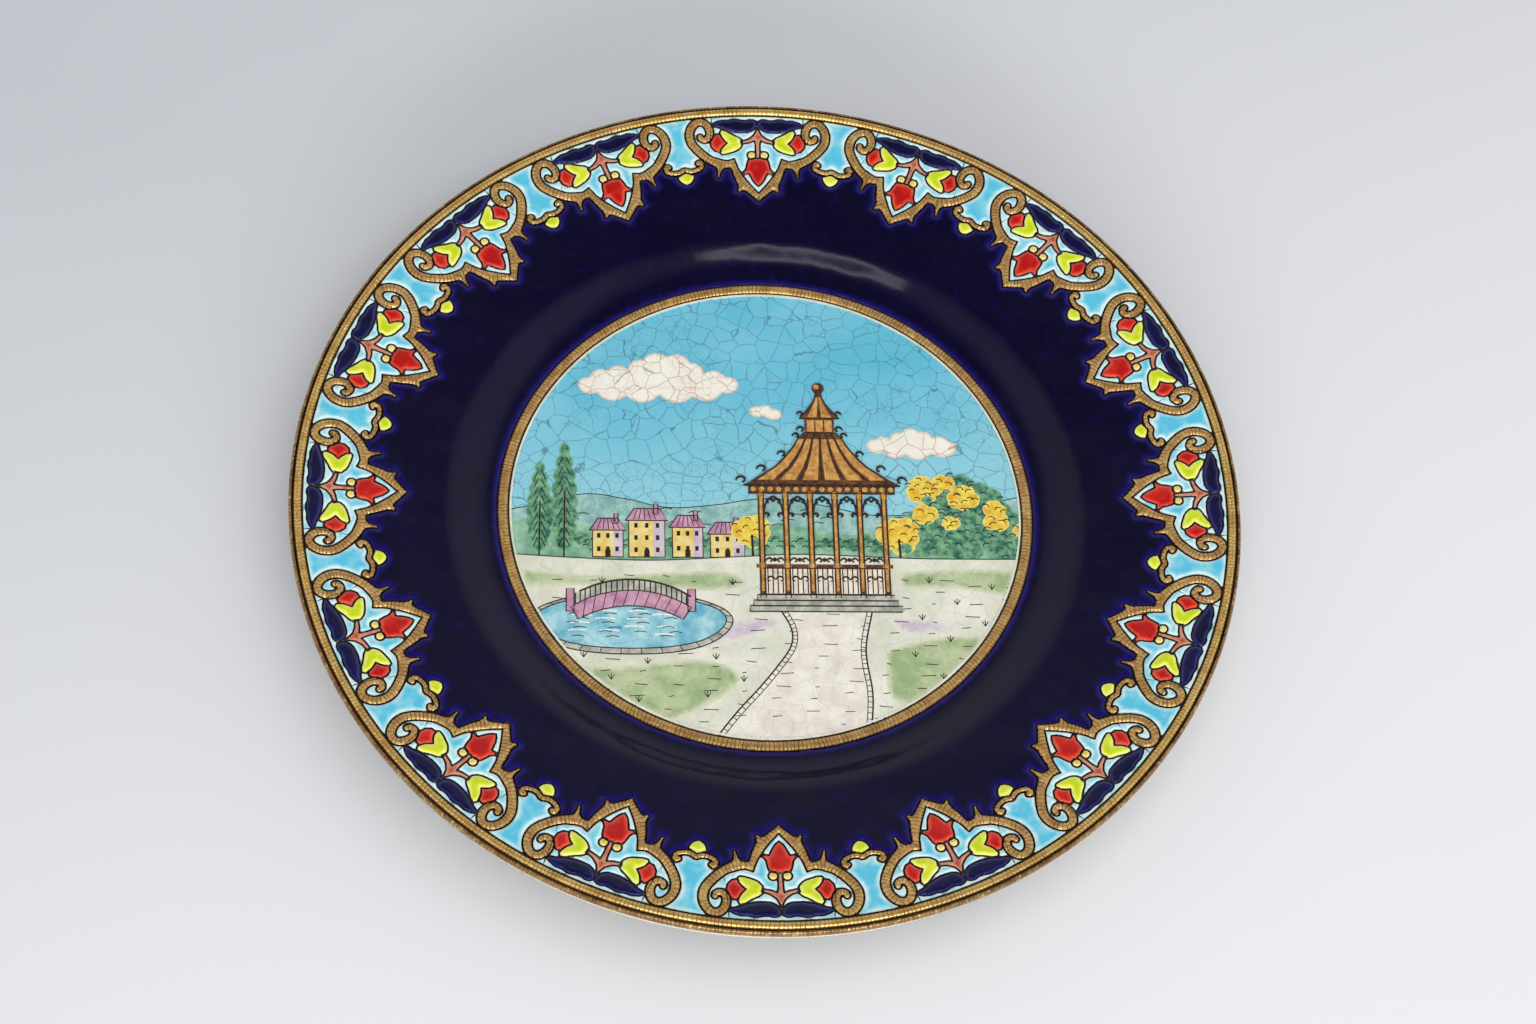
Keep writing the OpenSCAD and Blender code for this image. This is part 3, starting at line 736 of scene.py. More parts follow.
def repeated(obj, material):
    """The plain mesh of an object's copies round the plate."""
    modifier = obj.modifiers.new("repeat", "NODES")
    modifier.node_group = REPEAT
    values = {"Copies": ARCHES, "Weld": 0.004 * MM, "Finish": material}
    for item in REPEAT.interface.items_tree:
        if item.in_out == "INPUT" and item.name in values:
            modifier[item.identifier] = values[item.name]
    bpy.context.view_layer.update()
    depsgraph = bpy.context.evaluated_depsgraph_get()
    mesh = bpy.data.meshes.new_from_object(obj.evaluated_get(depsgraph), depsgraph=depsgraph)
    obj.modifiers.remove(modifier)
    obj.data = mesh
    mesh.shade_smooth()
    return obj


def lathe(name, profile, material, segments=288):
    """A closed ring turned from a section's points, which may be listed either way round."""
    p = np.asarray(profile, dtype=float)
    if np.sum(p[:, 0] * np.roll(p[:, 1], -1) - np.roll(p[:, 0], -1) * p[:, 1]) < 0:
        p = p[::-1]
    turn = np.arange(segments) * 2 * math.pi / segments
    verts, rings, faces = [], [], []
    for r, z in p:
        count = segments if r > 1e-6 else 1
        rings.append([len(verts) + k % count for k in range(segments)])
        verts += [(r * math.cos(t), r * math.sin(t), z) for t in turn[:count]]
    for a, b in zip(rings, rings[1:] + rings[:1]):
        for k in range(segments):
            m = (k + 1) % segments
            corners = list(dict.fromkeys((a[k], a[m], b[m], b[k])))
            if len(corners) > 2:
                faces.append(corners)
    return add_mesh(name, verts, faces, material)


BORDER_LOOK = {
    "cobalt_ground": ("cobalt", "cobalt_enamel", ENAMEL, 1.3),
    "turquoise_gap_fields": ("arch turquoise", "turquoise_enamel", ENAMEL, 0.9),
    "turquoise_arch_fields": ("arch turquoise", "turquoise_enamel", ENAMEL, 0.9),
    "red_buds": ("red", "red_enamel", ENAMEL + 0.15, 1.2),
    "yellow_tulips": ("yellow", "yellow_enamel", ENAMEL + 0.1, 1.1),
    "pink_stems": ("pink", "pink_enamel", ENAMEL * 0.7, 0.5),
    "red_lilies": ("red", "red_enamel", ENAMEL + 0.15, 1.3),
    "yellow_beads": ("golden", "yellow_enamel", ENAMEL, 0.9),
    "navy_leaves": ("navy", "navy_enamel", ENAMEL, 0.9),
    "yellow_drops": ("yellow", "yellow_enamel", ENAMEL + 0.15, 1.2),
    "gilt_brackets": ("gilt line", "gilt", ENAMEL + GILT_PROUD, 0.6),
    "gilt_scroll_arches": ("gilt line", "gilt", ENAMEL + GILT_PROUD, 1.05),
}
CELL_FOOT = 0.04


def make_border():
    points, tris, names, edge, on_side = border_cells()
    along = {"gilt_scroll_arches": point_line, "gilt_brackets": bracket}
    for node, (finish, slot, height, run) in BORDER_LOOK.items():
        used, local = np.unique(tris[names == node], return_inverse=True)
        flat, d = points[used], edge[used]
        bed = bed_z(np.hypot(*flat.T))
        top = np.column_stack([flat, bed + CELL_FOOT + swell(d, height - CELL_FOOT, run)])
        verts, faces = closed(top, upward(flat, local.reshape(-1, 3)), bed, on_side[used])
        count = len(verts)
        verts = np.vstack([verts, verts * [-1, 1, 1]])
        faces += [[i + count for i in reversed(f)] for f in faces]
        attributes = {"edge": np.tile(d, 4)}
        if node in along:
            attributes["along"] = np.tile(along[node].near(flat)[1], 4)
        obj = add_mesh(node + "_enamel", verts, faces, finishes[finish], attributes)
        repeated(obj, finishes[finish])
        obj.data.name = obj.name
        settle(obj, node)


make_border()

# ---- Picture: sheets of glaze laid over one another, drawn about the plate's axis ----

PICTURE_LOW = PLATE_H - WELL_DEPTH - ENAMEL
SHEETS = itertools.count(1)
SHEET = 0.009


def lay(name, finish, outlines, node=None, spacing=0.0):
    """A thin closed sheet, clipped to the picture. With a spacing it knows each point's distance to its edge."""
    domain = disc(0, 0, PICTURE_R, 120)
    extra = np.zeros((0, 2))
    if spacing:
        every = np.vstack([drawn(o) for o in outlines])
        grid = hex_points(np.maximum(every.min(axis=0), -PICTURE_R), np.minimum(every.max(axis=0), PICTURE_R), spacing)
        extra = grid[np.hypot(*grid.T) < PICTURE_R - 0.3]
    points, tris, names = partition([(name, outlines)], domain, extra)
    own = tris[names == name]
    used, local = np.unique(own, return_inverse=True)
    flat = points[used]
    local = upward(flat, local.reshape(-1, 3))
    edge = np.full(len(flat), 9.0)
    if spacing:
        inner, outer = label_edges(own, names[names == name])
        ends = np.array(inner + outer)
        edge = distance_to(flat, points[ends[:, 0]], points[ends[:, 1]])
    top = np.column_stack([flat, np.full(len(flat), PICTURE_LOW + 0.1 + SHEET * next(SHEETS))])
    verts, faces = closed(top, local, PICTURE_LOW)
    obj = add_mesh("picture_" + name, verts, faces, finishes[finish], {"edge": np.tile(edge, 2)}, smooth=False)
    return settle(obj, node)


def pen(points, width=0.32, steps=4):
    """A pen line through points."""
    path = bend(points, steps) if len(points) > 2 else np.asarray(points, dtype=float)
    return Stroke(path, [width, width])


def lined(outline, width=0.32):
    """A pen line all round an outline."""
    p = np.asarray(outline, dtype=float)
    return Stroke(np.vstack([p, p[:1]]), [width, width])


def box(x0, y0, x1, y1):
    return np.array([[x0, y0], [x1, y0], [x1, y1], [x0, y1]], dtype=float)


def puffs(corners, bulge=0.25, per=5):
    """A closed outline, anticlockwise, with a round bump outside each edge between its corners."""
    p = np.asarray(corners, dtype=float)[:, None]
    q = np.roll(p, -1, axis=0)
    t = np.arange(per)[None, :, None] / per
    out = np.stack([q[..., 1] - p[..., 1], p[..., 0] - q[..., 0]], axis=2)
    return (p * (1 - t) + q * t + out * 4 * t * (1 - t) * bulge).reshape(-1, 2)


def clump(x, y, r, bumps=9, squash=0.85, seed=0.0):
    """A leafy mass."""
    turn = np.arange(bumps) * 2 * math.pi / bumps + seed
    reach = r * (0.9 + 0.1 * np.sin(turn * 3 + seed * 5))
    return puffs(np.stack([x + reach * np.cos(turn), y + reach * squash * np.sin(turn)], axis=1))


def scatter(count, x0, y0, x1, y1, seed=0):
    """Evenly strewn points in a box."""
    k = np.arange(1, count + 1) + seed
    return np.stack([x0 + (x1 - x0) * (k * 0.7549 % 1), y0 + (y1 - y0) * (k * 0.5698 % 1)], axis=1)


def curls(x, y, r, count, squash=0.85, size=0.8, width=0.28):
    """Short bent pen strokes strewn over a leafy mass."""
    strokes = []
    for k in range(count):
        reach = r * 0.92 * math.sqrt((k + 0.5) / count)
        cx, cy = x + reach * math.cos(k * 2.4), y + reach * squash * math.sin(k * 2.4)
        sweep = np.linspace(0.3, 2.7, 5) + 0.6 * math.sin(k * 1.7)
        strokes.append(Stroke(np.stack([cx + size * np.cos(sweep), cy + size * 0.8 * np.sin(sweep)], axis=1),
                              [width, width]))
    return strokes


CLOUDS = [
    [[-50, 37.6], [-45, 35.6], [-37, 34.6], [-28, 35.0], [-19, 34.6], [-11, 36.0], [-6.5, 38.4], [-10, 41.0], [-16, 42.0],
     [-19.5, 45.4], [-26, 47.4], [-32.5, 46.2], [-36.5, 43.2], [-42, 42.8], [-47, 40.6]],
    [[27.5, 19.4], [32, 17.6], [38, 17.0], [45, 17.2], [52, 18.8], [50, 21.2], [45.5, 22.2], [42, 24.2], [37, 23.8],
     [34, 21.8], [30, 21.6]],
    [[-4, 30.2], [0, 28.8], [5, 28.6], [2.5, 31.0], [-1, 31.6]],
]
HOUSES = [(-46, 8, 8), (-36.5, 9.5, 11), (-25, 8, 9), (-15, 9, 7)]
HOUSE_BASE = -15
POPLARS = [(-60, 28), (-53.5, 34)]
GROVE = [(45, -6, 9), (56, -2, 11), (64, -8, 9), (50, 4, 8)]
GOLDEN_TREES = [(-4, -7, 5.4), (35, -8, 6), (42, 6, 4.6)]
HILLS = [[-72, -2], [-60, 1], [-48, 4], [-37, 2.5], [-26, 0], [-13, 1], [0, 3], [15, 1], [30, -2], [50, 0], [72, 5]]
LAWN = [[-72, -14], [-50, -15.4], [-30, -16], [-8, -14.8], [10, -14], [40, -15], [72, -15]]
BANK = {"left": [[3, -30.5], [5.6, -36], [5.4, -41], [2, -46.5], [-3, -53], [-9, -60], [-15, -68]],
        "right": [[24, -72], [25.6, -62], [26, -54], [25, -46], [25, -40], [27, -30.5]]}
POND = (-36, -34, 24.7, 8.06)


def below(curve, low):
    """The area under a curve drawn from left to right, anticlockwise."""
    return np.vstack([curve, [[curve[-1][0], low], [curve[0][0], low]]])[::-1]


def make_sky():
    lay("sky_glaze", "sky", [box(-75, -18, 75, 75)], "picture_sky")
    rims = [puffs(c) for c in CLOUDS]
    lay("cloud_glaze", "cloud", rims, "picture_clouds", 0.8)
    shades = [[[-47, 37.2], [-38, 36.0], [-28, 36.4], [-18, 36.0], [-9, 37.8], [-17, 38.2], [-27, 38.6], [-37, 38.0]],
              [[30, 19.0], [38, 18.2], [46, 18.4], [50, 19.2], [44, 20.0], [36, 19.9]]]
    lay("cloud_shade", "cloud fold", [bend(c + c[:1], 4)[:-1] for c in shades], spacing=0.8)


def make_distance():
    ridge = bend(HILLS, 5)
    lay("far_hills", "far leaf", [below(ridge, -20)], "picture_hills", 1.4)
    near = bend([[-72, -6], [-58, -3], [-46, -6], [-30, -4], [-12, -8], [4, -5], [24, -8], [44, -5], [72, -7]], 5)
    lay("near_hills", "hill", [below(near, -20)], spacing=1.4)
    bushes = [clump(x, -10.5 + 1.2 * math.sin(x), 2.3 + 0.5 * math.sin(x * 2), 7, 0.8, x) for x in np.arange(-49, 34, 3.4)]
    lay("hedge", "leaf", bushes, spacing=0.9)
    strokes = [pen([[x, y], [x + 1.6, y + 0.5], [x + 3.4, y + 0.2]], 0.26) for x, y in scatter(26, -66, -6, 66, -0.5)]
    strokes += [s for x in np.arange(-48, 34, 3.4) for s in curls(x, -10.5, 2.0, 3)]
    lay("hill_lines", "ink", [pen(ridge[::2], 0.24)] + strokes)


def make_village():
    walls = [box(x, HOUSE_BASE, x + w, HOUSE_BASE + h) for x, w, h in HOUSES]
    gables = [np.array([[x - 0.8, HOUSE_BASE + h], [x + w + 0.8, HOUSE_BASE + h], [x + w - 1.4, HOUSE_BASE + h + 3.6],
                        [x + 1.4, HOUSE_BASE + h + 3.6]]) for x, w, h in HOUSES]
    lay("house_walls", "ochre", walls, "picture_houses", 0.9)
    shade = [box(x + w * 0.68, HOUSE_BASE, x + w, HOUSE_BASE + h) for x, w, h in HOUSES]
    lay("house_shade", "lilac", shade)
    chimneys = [box(x + w * 0.7, HOUSE_BASE + h + 2, x + w * 0.7 + 1.1, HOUSE_BASE + h + 5) for x, w, h in HOUSES]
    lay("house_roofs", "rose", gables + chimneys, "picture_roofs", 0.9)
    lines = [lined(o) for o in walls + gables + chimneys]
    panes = []
    for x, w, h in HOUSES:
        floors = 3 if h > 10 else 2
        for f in range(floors):
            for k in range(3):
                px, py = x + w * (0.2 + 0.3 * k), HOUSE_BASE + h * (f + 0.62) / floors
                panes.append(box(px - 0.45, py - 0.8, px + 0.45, py + 0.6))
        door = x + w * 0.5
        panes.append(np.vstack([box(door - 0.7, HOUSE_BASE, door + 0.7, HOUSE_BASE + 2.2)[:3], [[door - 0.7, HOUSE_BASE + 2.2]]]))
        lines += [pen([[x + 1.2 + k * 1.5, HOUSE_BASE + h + 0.3], [x + 2.2 + k * (w - 3) / w * 1.4, HOUSE_BASE + h + 3.3]], 0.22)
                  for k in range(int(w / 1.6))]
    lay("house_lines", "ink", lines + panes)


def make_trees():
    flames = []
    for x, tall in POPLARS:
        rise = np.linspace(0.03, 1, 9)
        half = 3.0 * np.sin(math.pi * rise**0.75) ** 0.8
        right = np.stack([x + half, -14 + tall * rise], axis=1)
        left = np.stack([x - half, -14 + tall * rise], axis=1)[::-1]
        flames.append(puffs(np.vstack([right, left[1:]]), 0.2))
    lay("poplar_leaves", "leaf", flames, "picture_poplars", 0.8)
    masses = [clump(x, y, r, 11, 0.9, x) for x, y, r in GROVE] + [clump(40, -11, 5, 8, 0.7, 1), clump(52, -12, 6, 9, 0.6, 2)]
    lay("grove_leaves", "leaf", masses, "picture_grove", 0.9)
    lit = [clump(x - r * 0.3, y + r * 0.5, r * 0.42, 7, 0.8, y) for x, y, r in GROVE]
    lit += [clump(x + r * 0.45, y + r * 0.2, r * 0.3, 7, 0.8, y) for x, y, r in GROVE]
    lay("grove_lit_leaves", "gold leaf", lit, spacing=0.8)
    crowns = [clump(x, y, r, 9, 0.95, x) for x, y, r in GOLDEN_TREES]
    lay("golden_leaves", "gold leaf", crowns, "picture_golden_trees", 0.7)
    dabs = [clump(x + r * 0.25, y - r * 0.66, r * 0.36, 7, 0.7, y) for x, y, r in GOLDEN_TREES]
    lay("golden_shade", "leaf", dabs, spacing=0.7)
    lines = []
    for x, tall in POPLARS:
        lines.append(pen([[x, -15.5], [x + 0.1, -14 + tall * 0.55]], 0.4))
        lines += [pen([[x + 1.5 * s, -12 + k * tall / 11], [x + 0.5 * s, -9.6 + k * tall / 11]], 0.26)
                  for k in range(9) for s in (-1, 1)]
    for x, y, r in GROVE:
        lines += curls(x, y, r, 20, 0.9, 1.0)
    for x, y, r in GOLDEN_TREES:
        lines += curls(x, y, r, 10, 0.9, 0.8)
        if y < 0:
            lines.append(pen([[x, y - r * 0.2], [x + 0.2, -15.4]], 0.6))
    lay("tree_lines", "ink", lines)


def make_ground():
    lay("lawn_glaze", "cream", [below(bend(LAWN, 5), -72)], "picture_lawn", 2.0)
    meadow = [[[-70, -18], [-45, -20.5], [-14, -19], [-6, -22], [-14, -25], [-44, -23.5], [-70, -24]],
              [[34, -19], [52, -18], [70, -19], [70, -27], [50, -24], [36, -24]],
              [[-66, -46], [-40, -47], [-18, -45], [-8, -50], [-16, -58], [-34, -64], [-60, -60]],
              [[30, -42], [46, -38], [64, -40], [60, -54], [44, -60], [31, -56]]]
    patches = [bend(m + m[:1], 5)[:-1] for m in meadow]
    lay("meadow_wash", "grass", patches, spacing=1.6)
    shadow = [[[-8, -33], [1, -32.6], [3, -35], [-5, -38.5], [-16, -41.5], [-19, -39]], [[30, -32], [44, -33], [52, -36], [36, -37.5]]]
    lay("lilac_shadow", "lilac", [bend(m + m[:1], 5)[:-1] for m in shadow], spacing=1.6)
    left, right = bend(BANK["left"], 5), bend(BANK["right"], 5)
    lay("path_glaze", "path", [np.vstack([left, right])], "picture_path", 1.6)
    kerb = [pen(BANK["left"], 0.42), pen(BANK["right"], 0.42)]
    for side, way in ((left, -1), (right, 1)):
        out = sideways(side) * 1.3
        kerb.append(Stroke(side + out, [0.24, 0.24]))
        kerb += [pen([side[k], side[k] + out[k] * 1.0], 0.22) for k in range(1, len(side) - 1)]
    hatch = [pen([[x, y], [x + 2.4 + 1.4 * math.sin(x), y + 0.3 * math.sin(y)]], 0.22)
             for x, y in scatter(150, -64, -64, 64, -20, 3)
             if not (x > -62 and (x + 36)**2 / 27**2 + (y + 34)**2 / 10.5**2 < 1)]
    tufts = []
    for x, y in scatter(46, -60, -60, 60, -21, 11):
        if (x + 36)**2 / 27**2 + (y + 34)**2 / 10.5**2 > 1 and not -6 < x < 34:
            tufts += [pen([[x, y], [x + d, y + 1.7 - abs(d) * 0.5]], 0.24) for d in (-0.8, 0.0, 0.8)]
    lay("ground_lines", "ink", kerb + hatch + tufts + [pen(bend(LAWN, 4), 0.26)])


def make_pond():
    x, y, a, b = POND
    turn = np.arange(60) * math.pi / 30
    ripple = 1 + 0.015 * np.sin(turn * 5)
    stone = np.stack([x + (a + 1.7) * ripple * np.cos(turn), y - 0.4 + (b + 1.3) * ripple * np.sin(turn)], axis=1)
    water = np.stack([x + a * ripple * np.cos(turn), y + b * ripple * np.sin(turn)], axis=1)
    lay("pond_kerb", "stone", [stone], spacing=1)
    lay("pond_water", "water", [water], "picture_pond", 0.9)
    glints = [pen([[px, py], [px + 2.4, py + 0.25], [px + 5, py]], 0.4) for px, py in scatter(12, x - 17, y - 5, x + 12, y + 3, 2)]
    lay("pond_glints", "cloud", glints)
    waves = [pen([[px, py], [px + 1.6, py + 0.3], [px + 3.2, py]], 0.24) for px, py in scatter(20, x - 18, y - 5.6, x + 14, y + 3.6, 7)]
    joints = [pen([stone[k], water[k]], 0.22) for k in range(0, 60, 2)]
    lay("pond_lines", "ink", [lined(stone, 0.3), lined(water, 0.3)] + waves + joints)


def make_bridge():
    turn = np.linspace(math.radians(54.6), math.radians(125.4), 24)
    over = np.stack([-36 + 27 * np.cos(turn), -52 + 27 * np.sin(turn)], axis=1)
    under = np.stack([-36 + 25.4 * np.cos(turn[1:-1]), -55 + 25.4 * np.sin(turn[1:-1])], axis=1)
    deck = np.vstack([over, under[::-1]])
    rail = over + [0, 3.2]
    ends = [box(x - 1, -31.2, x + 1, -24.6) for x in (-51.8, -20.2)]
    lay("bridge_rail_ground", "stone", [np.vstack([over, rail[::-1]])])
    lay("bridge_stone", "rose", [deck] + ends, "picture_footbridge", 0.8)
    lines = [lined(deck), pen(rail[::3], 0.5)] + [lined(e) for e in ends]
    lines += [pen([over[k] + [0, 0.2], rail[k]], 0.34) for k in range(1, 23)]
    lines += [pen([over[k], deck[len(deck) - 1 - k]], 0.22) for k in range(2, 22, 2)]
    lay("bridge_lines", "ink", lines)


STAND_X, STAND_HALF = 15, 18


def scroll_work(x, y, size, flip=1.0, width=0.4):
    """A C-scroll with a curled eye, in pen."""
    turn = np.linspace(0, 4.4, 12)
    r = size * (1 - turn / 6.2)
    return Stroke(np.stack([x + flip * r * np.cos(turn), y + r * np.sin(turn)], axis=1), [width, width * 1.6, width])


def make_bandstand():
    cx = STAND_X
    posts = [box(cx - 17.1 + k * 6.56, -27, cx - 15.7 + k * 6.56, 6) for k in range(6)]
    middles = [p[:, 0].mean() for p in posts]
    steps = [box(cx - 20 + k, -31 + 1.6 * k, cx + 20 - k, -29.3 + 1.6 * k) for k in range(3)]
    slope = np.array([[21, 0], [18, 1.7], [15.5, 3.6], [12.5, 5.7], [10, 8.4], [7.7, 11.4], [6, 14.4], [4.4, 16.4]])
    roof = np.vstack([slope, (slope * [-1, 1])[::-1]]) + [cx, 7]
    cap_slope = np.array([[5.4, 0], [4.3, 1.2], [3, 3], [1.8, 4.6], [1, 6.4], [0.5, 9]])
    cap = np.vstack([cap_slope, (cap_slope * [-1, 1])[::-1]]) + [cx, 28]
    frieze = box(cx - 19.5, 4.6, cx + 19.5, 7)
    lay("bandstand_inside", "inside", [box(cx - 16, -26, cx + 16, -17.6)])
    body = posts + [frieze, roof, box(cx - 4, 23, cx + 4, 28.2), cap, disc(cx, 37.6, 1.7, 18), box(cx - 18, -18, cx + 18, -17)]
    lay("bandstand_iron", "bronze", body, "picture_bandstand", 0.8)
    lay("bandstand_steps", "stone", steps, spacing=0.8)
    panels = []
    for k in range(-3, 3):
        low, high = slope[1:-1], slope[1:-1]
        left = low * [(k + 0.16) / 3, 1]
        right = high * [(k + 0.84) / 3, 1]
        panels.append(np.vstack([right, left[::-1]]) + [cx, 7])
    panels += [box(cx - 3.4 + 2.4 * k, 23.8, cx - 1.4 + 2.4 * k, 27.4) for k in range(3)]
    panels += [(np.vstack([cap_slope[:5] * [0.62 * s, 1], (cap_slope[:5] * [0.12 * s, 1])[::-1]]) + [cx, 28.3]) for s in (-1, 1)]
    lay("bandstand_panels", "gold wash", panels, spacing=0.8)
    gold = [box(m - 0.35, -25, m + 0.35, 3.5) for m in middles]
    gold += [disc(m, 3.9, 1.15, 14) for m in middles] + [disc(m, -17.5, 1.05, 14) for m in middles]
    gold += [disc(cx - 18.4 + 2.3 * k, 5.8, 0.75, 10) for k in range(17)] + [disc(cx - 0.5, 37.9, 0.8, 12)]
    lay("bandstand_gold", "gold wash", gold)
    lines = [lined(o, 0.3) for o in [roof, cap, frieze] + steps]
    lines += [pen((slope * [k / 3, 1] + [cx, 7])[1:], 0.34) for k in (-2, -1, 0, 1, 2)]
    lines += [Stroke(np.array([[p[0][0], -27], [p[0][0], 5]]), [0.24, 0.24]) for p in posts]
    lines += [Stroke(np.array([[p[1][0], -27], [p[1][0], 5]]), [0.3, 0.3]) for p in posts]
    for a, b in zip(middles, middles[1:]):
        mid, half = (a + b) / 2, (b - a) / 2
        lines.append(pen([[a + 0.7, -1.4], [a + 1.4, 1.6], [mid, 3.6], [b - 1.4, 1.6], [b - 0.7, -1.4]], 0.5))
        lines += [scroll_work(mid - 1.2, 2.0, 1.1, 1), scroll_work(mid + 1.2, 2.0, 1.1, -1)]
        lines += [scroll_work(a + 1.6, -2.2, 0.9, -1), scroll_work(b - 1.6, -2.2, 0.9, 1)]
        lines += [pen([[a + (b - a) * k / 5, -25.6], [a + (b - a) * k / 5, -18]], 0.3) for k in (1, 2, 3, 4)]
        lines += [scroll_work(mid - half * 0.42, -21.6, 1.25, 1, 0.34), scroll_work(mid + half * 0.42, -21.6, 1.25, -1, 0.34)]
        lines.append(disc(mid, -15.6, 0.6, 10))
        lines += [scroll_work(mid - 1.3, -15.9, 1.0, -1, 0.34), scroll_work(mid + 1.3, -15.9, 1.0, 1, 0.34)]
    lines += [pen([[cx - 16.4, y], [cx + 16.4, y]], 0.34) for y in (-25.9, -18.2)]
    for s in (-1, 1):
        for k, size in ((0, 1.6), (2, 1.5), (4, 1.3), (6, 1.1)):
            x, y = slope[k] * [s, 1] + [cx, 7]
            lines.append(scroll_work(x + s * 0.3, y + size * 0.95, size, s, 0.4))
        lines += [scroll_work(cx + s * 5.0, 24.4, 1.2, s, 0.4), scroll_work(cx + s * 5.0, 29.3, 1.0, s, 0.36)]
    fringe = [puffs([[cx - 20 + 2 * k, 7.1], [cx - 20 + 2 * k, 6.9], [cx - 18 + 2 * k, 6.9], [cx - 18 + 2 * k, 7.1]], 0.2)
              for k in range(20)]
    lay("bandstand_lines", "ink", lines + fringe)


def make_picture():
    make_sky()
    make_distance()
    make_village()
    make_trees()
    make_ground()
    make_pond()
    make_bridge()
    make_bandstand()
    lay("pale_margin", "cream", [lined(disc(0, 0, PICTURE_R - 0.35, 120), 0.5)])


make_picture()

# ---- Turned pieces ----


def half_round(r_in, r_out, height, steps=14):
    mid, half = (r_in + r_out) / 2, (r_out - r_in) / 2
    turn = np.linspace(0, math.pi, steps)
    r = mid + half * np.cos(turn)
    crown = np.stack([r, bed_z(r) + height * np.sin(turn)], axis=1)
    return crown.tolist()


def make_turned():
    bead = half_round(BEAD_OUT - BEAD_W, BEAD_OUT, ENAMEL + BEAD_PROUD)
    settle(lathe("rim_bead", bead, finishes["gilt rim with painted light"], 720), "gilt_rim_bead")
    ring = half_round(RING_OUT - RING_W, RING_OUT, ENAMEL + GILT_PROUD)
    settle(lathe("picture_ring", ring, finishes["gilt ring"], 480), "gilt_picture_ring")
    lip = 0.55
    turn = np.linspace(-math.pi / 2, math.pi / 2, 12)
    middle = (EDGE_LOW + EDGE_HIGH) / 2
    rise = (EDGE_HIGH - EDGE_LOW) / 2
    outer = [(PLATE_R - lip + lip * math.cos(t), middle + rise * math.sin(t)) for t in turn]
    edge = [(BODY_R, EDGE_LOW)] + outer + [(BODY_R, EDGE_HIGH)]
    settle(lathe("edge_band", edge, finishes["gilt edge"], 720), "gilt_edge_band")
    radii = np.concatenate([np.linspace(0, WELL_R, 8), WELL_R + WALL_RUN * np.linspace(0, 1, 20)[1:],
                            np.linspace(90, BODY_R, 6)])
    over = [(r, float(bed_z(r))) for r in radii[::-1]]
    under = [(r, float(bed_z(r)) - PRINT) for r in radii]
    settle(lathe("line_coat", under + over, finishes["print"]), "outline_print")
    make_body(under)


def make_body(top):
    """The clay body, and the glaze on its back, which leaves the foot ring's face bare."""
    turn = np.linspace(0, math.radians(75), 8)
    edge_z = float(bed_z(BODY_R)) - PRINT - EDGE_DROP
    edge = np.stack([BODY_R - EDGE_ROUND * (1 - np.cos(turn)), edge_z - EDGE_ROUND * np.sin(turn)], axis=1)
    flange_in = max(WELL_R + WALL_RUN, FOOT_R) + 4
    flange_z = float(face_z(flange_in)) - FLANGE_T
    shoulder = FOOT_TOP + 1.5
    back = np.vstack([edge[-3:], [[flange_in + 14, flange_z + 14 * math.tan(FLANGE_TILT)], [flange_in, flange_z],
                      [(flange_in + FOOT_R) / 2 + BACK_SWELL, (flange_z + shoulder) / 2],
                      [FOOT_R + BACK_SWELL, shoulder], [FOOT_R, FOOT_CHAMFER]]])
    back = np.vstack([edge[:-3], bend(back, 8)])
    inner = FOOT_R - FOOT_W
    foot = np.array([[FOOT_R - 0.25, 0.25], [FOOT_R - FOOT_CHAMFER, 0], [inner + FOOT_CHAMFER, 0], [inner + 0.25, 0.25],
                     [inner, FOOT_CHAMFER]])
    hollow = np.array([[inner - 0.2, FOOT_TOP - 1.2], [inner - 0.6, FOOT_TOP - 0.4], [inner - 1.5, FOOT_TOP]])
    body = np.vstack([top, back, foot, hollow, [[inner - 4, FOOT_TOP], [30, FOOT_TOP], [0, FOOT_TOP]]])
    settle(lathe("clay_body", body, finishes["biscuit"]), "plate_body")
    coat = back[back[:, 1] < EDGE_LOW + 0.2]
    settle(lathe("back_coat", np.vstack([coat, (coat + sideways(coat) * -GLAZE)[::-1]]), finishes["back"]),
           "back_glaze")
    low = FOOT_TOP - GLAZE
    under = np.array([[FOOT_HOLLOW_R, low + 0.1], [FOOT_HOLLOW_R - 0.4, low], [FOOT_HOLLOW_R - 2, low], [30, low], [0, low],
                      [0, FOOT_TOP], [FOOT_HOLLOW_R, FOOT_TOP]])
    settle(lathe("hollow_coat", under, finishes["back"]), "foot_well_glaze")


make_turned()

# ---- Floor, light and camera ----


def make_floor():
    f = Finish("pale floor", Roughness=0.7)
    # Painted light: the floor is darker towards the back left and paler towards the near right, as if lit from there.
    painted_light_near_right = f.step(f.axis(0) * 0.55 - f.axis(1), -0.34, 0.16)
    colour = f.mix(painted_light_near_right, srgb(198, 202, 206), srgb(233, 234, 236))
    colour = f.mix(f.step(f.noise(220, 3, 1), 0.4, 0.7) * 0.25, colour, srgb(222, 223, 226))
    f.feed(Base_Color=colour)
    size = 3.0
    mesh = bpy.data.meshes.new("floor")
    mesh.from_pydata([(-size, -size, 0), (size, -size, 0), (size, size, 0), (-size, size, 0)], [], [(0, 1, 2, 3)])
    mesh.materials.append(f.material)
    floor = bpy.data.objects.new("floor", mesh)
    bpy.context.collection.objects.link(floor)


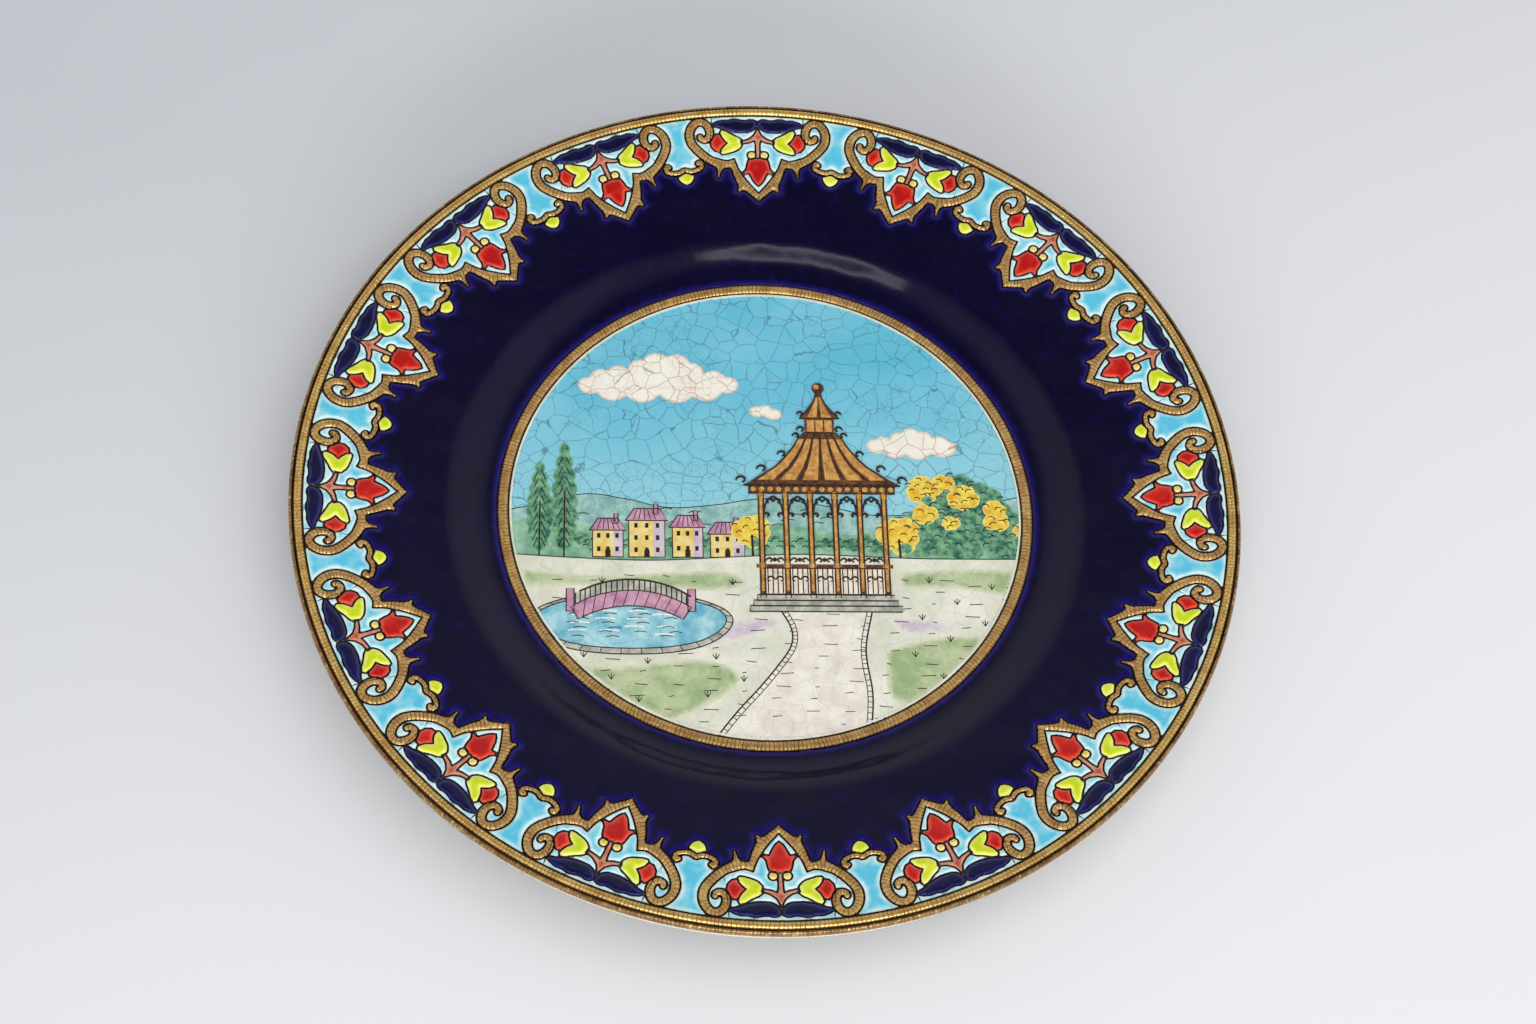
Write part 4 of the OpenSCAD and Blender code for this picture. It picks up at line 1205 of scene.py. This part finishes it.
def make_lamp(name, place, aim, size, power, mirrored_in_glaze=True):
    light = bpy.data.lights.new(name, "AREA")
    light.shape = "RECTANGLE"
    light.size, light.size_y = size
    light.energy = power
    lamp = bpy.data.objects.new(name, light)
    bpy.context.collection.objects.link(lamp)
    lamp.location = place
    lamp.rotation_euler = (Vector(aim) - Vector(place)).to_track_quat("-Z", "Y").to_euler()
    lamp.visible_glossy = mirrored_in_glaze


def make_world():
    world = bpy.data.worlds.new("soft studio")
    world.use_nodes = True
    bpy.context.scene.world = world
    tree = world.node_tree
    coords = tree.nodes.new("ShaderNodeTexCoord")
    split = tree.nodes.new("ShaderNodeSeparateXYZ")
    tree.links.new(coords.outputs["Generated"], split.inputs[0])
    ramp = tree.nodes.new("ShaderNodeValToRGB")
    stops = [(0.0, (0.50, 0.50, 0.51, 1)), (0.40, (0.66, 0.66, 0.68, 1)), (0.72, (0.56, 0.56, 0.59, 1)),
             (0.93, (0.10, 0.10, 0.12, 1))]
    while len(ramp.color_ramp.elements) < len(stops):
        ramp.color_ramp.elements.new(0.5)
    for element, (position, colour) in zip(ramp.color_ramp.elements, stops):
        element.position = position
        element.color = colour
    tree.links.new(split.outputs[2], ramp.inputs[0])
    tree.links.new(ramp.outputs[0], tree.nodes["Background"].inputs[0])


def make_camera():
    """The camera stands 60 degrees up, a little to the left, and is rolled so that the plate's right side drops."""
    turn, rise, roll = math.radians(-7.883), math.radians(60.114), math.radians(7.295)
    back = Vector((math.sin(turn) * math.cos(rise), -math.cos(turn) * math.cos(rise), math.sin(rise)))
    right = Vector((math.cos(turn), math.sin(turn), 0))
    up = back.cross(right)
    right, up = right * math.cos(roll) + up * math.sin(roll), up * math.cos(roll) - right * math.sin(roll)
    aim = Vector((-0.0036 * PLATE_R, -0.0606 * PLATE_R, PLATE_H)) * MM
    camera = bpy.data.cameras.new("camera")
    camera.sensor_width = 36
    camera.lens = 71.63
    camera.clip_start = 0.01
    obj = bpy.data.objects.new("camera", camera)
    bpy.context.collection.objects.link(obj)
    obj.matrix_world = Matrix.Translation(aim + back * 0.7977) @ Matrix((right, up, back)).transposed().to_4x4()
    bpy.context.scene.camera = obj


make_floor()
make_world()
make_lamp("overhead softbox", (0.3, -0.35, 1.9), (0, 0, 0), (2.4, 2.0), 19, mirrored_in_glaze=False)
make_lamp("front softbox", (-0.15, -1.0, 1.75), (0, 0, 0), (1.5, 0.12), 2.4)
make_lamp("low front strip", (0.1, -1.6, 0.6), (0, 0, 0), (1.6, 0.3), 16)
make_camera()
scene = bpy.context.scene
scene.view_settings.view_transform = "Standard"
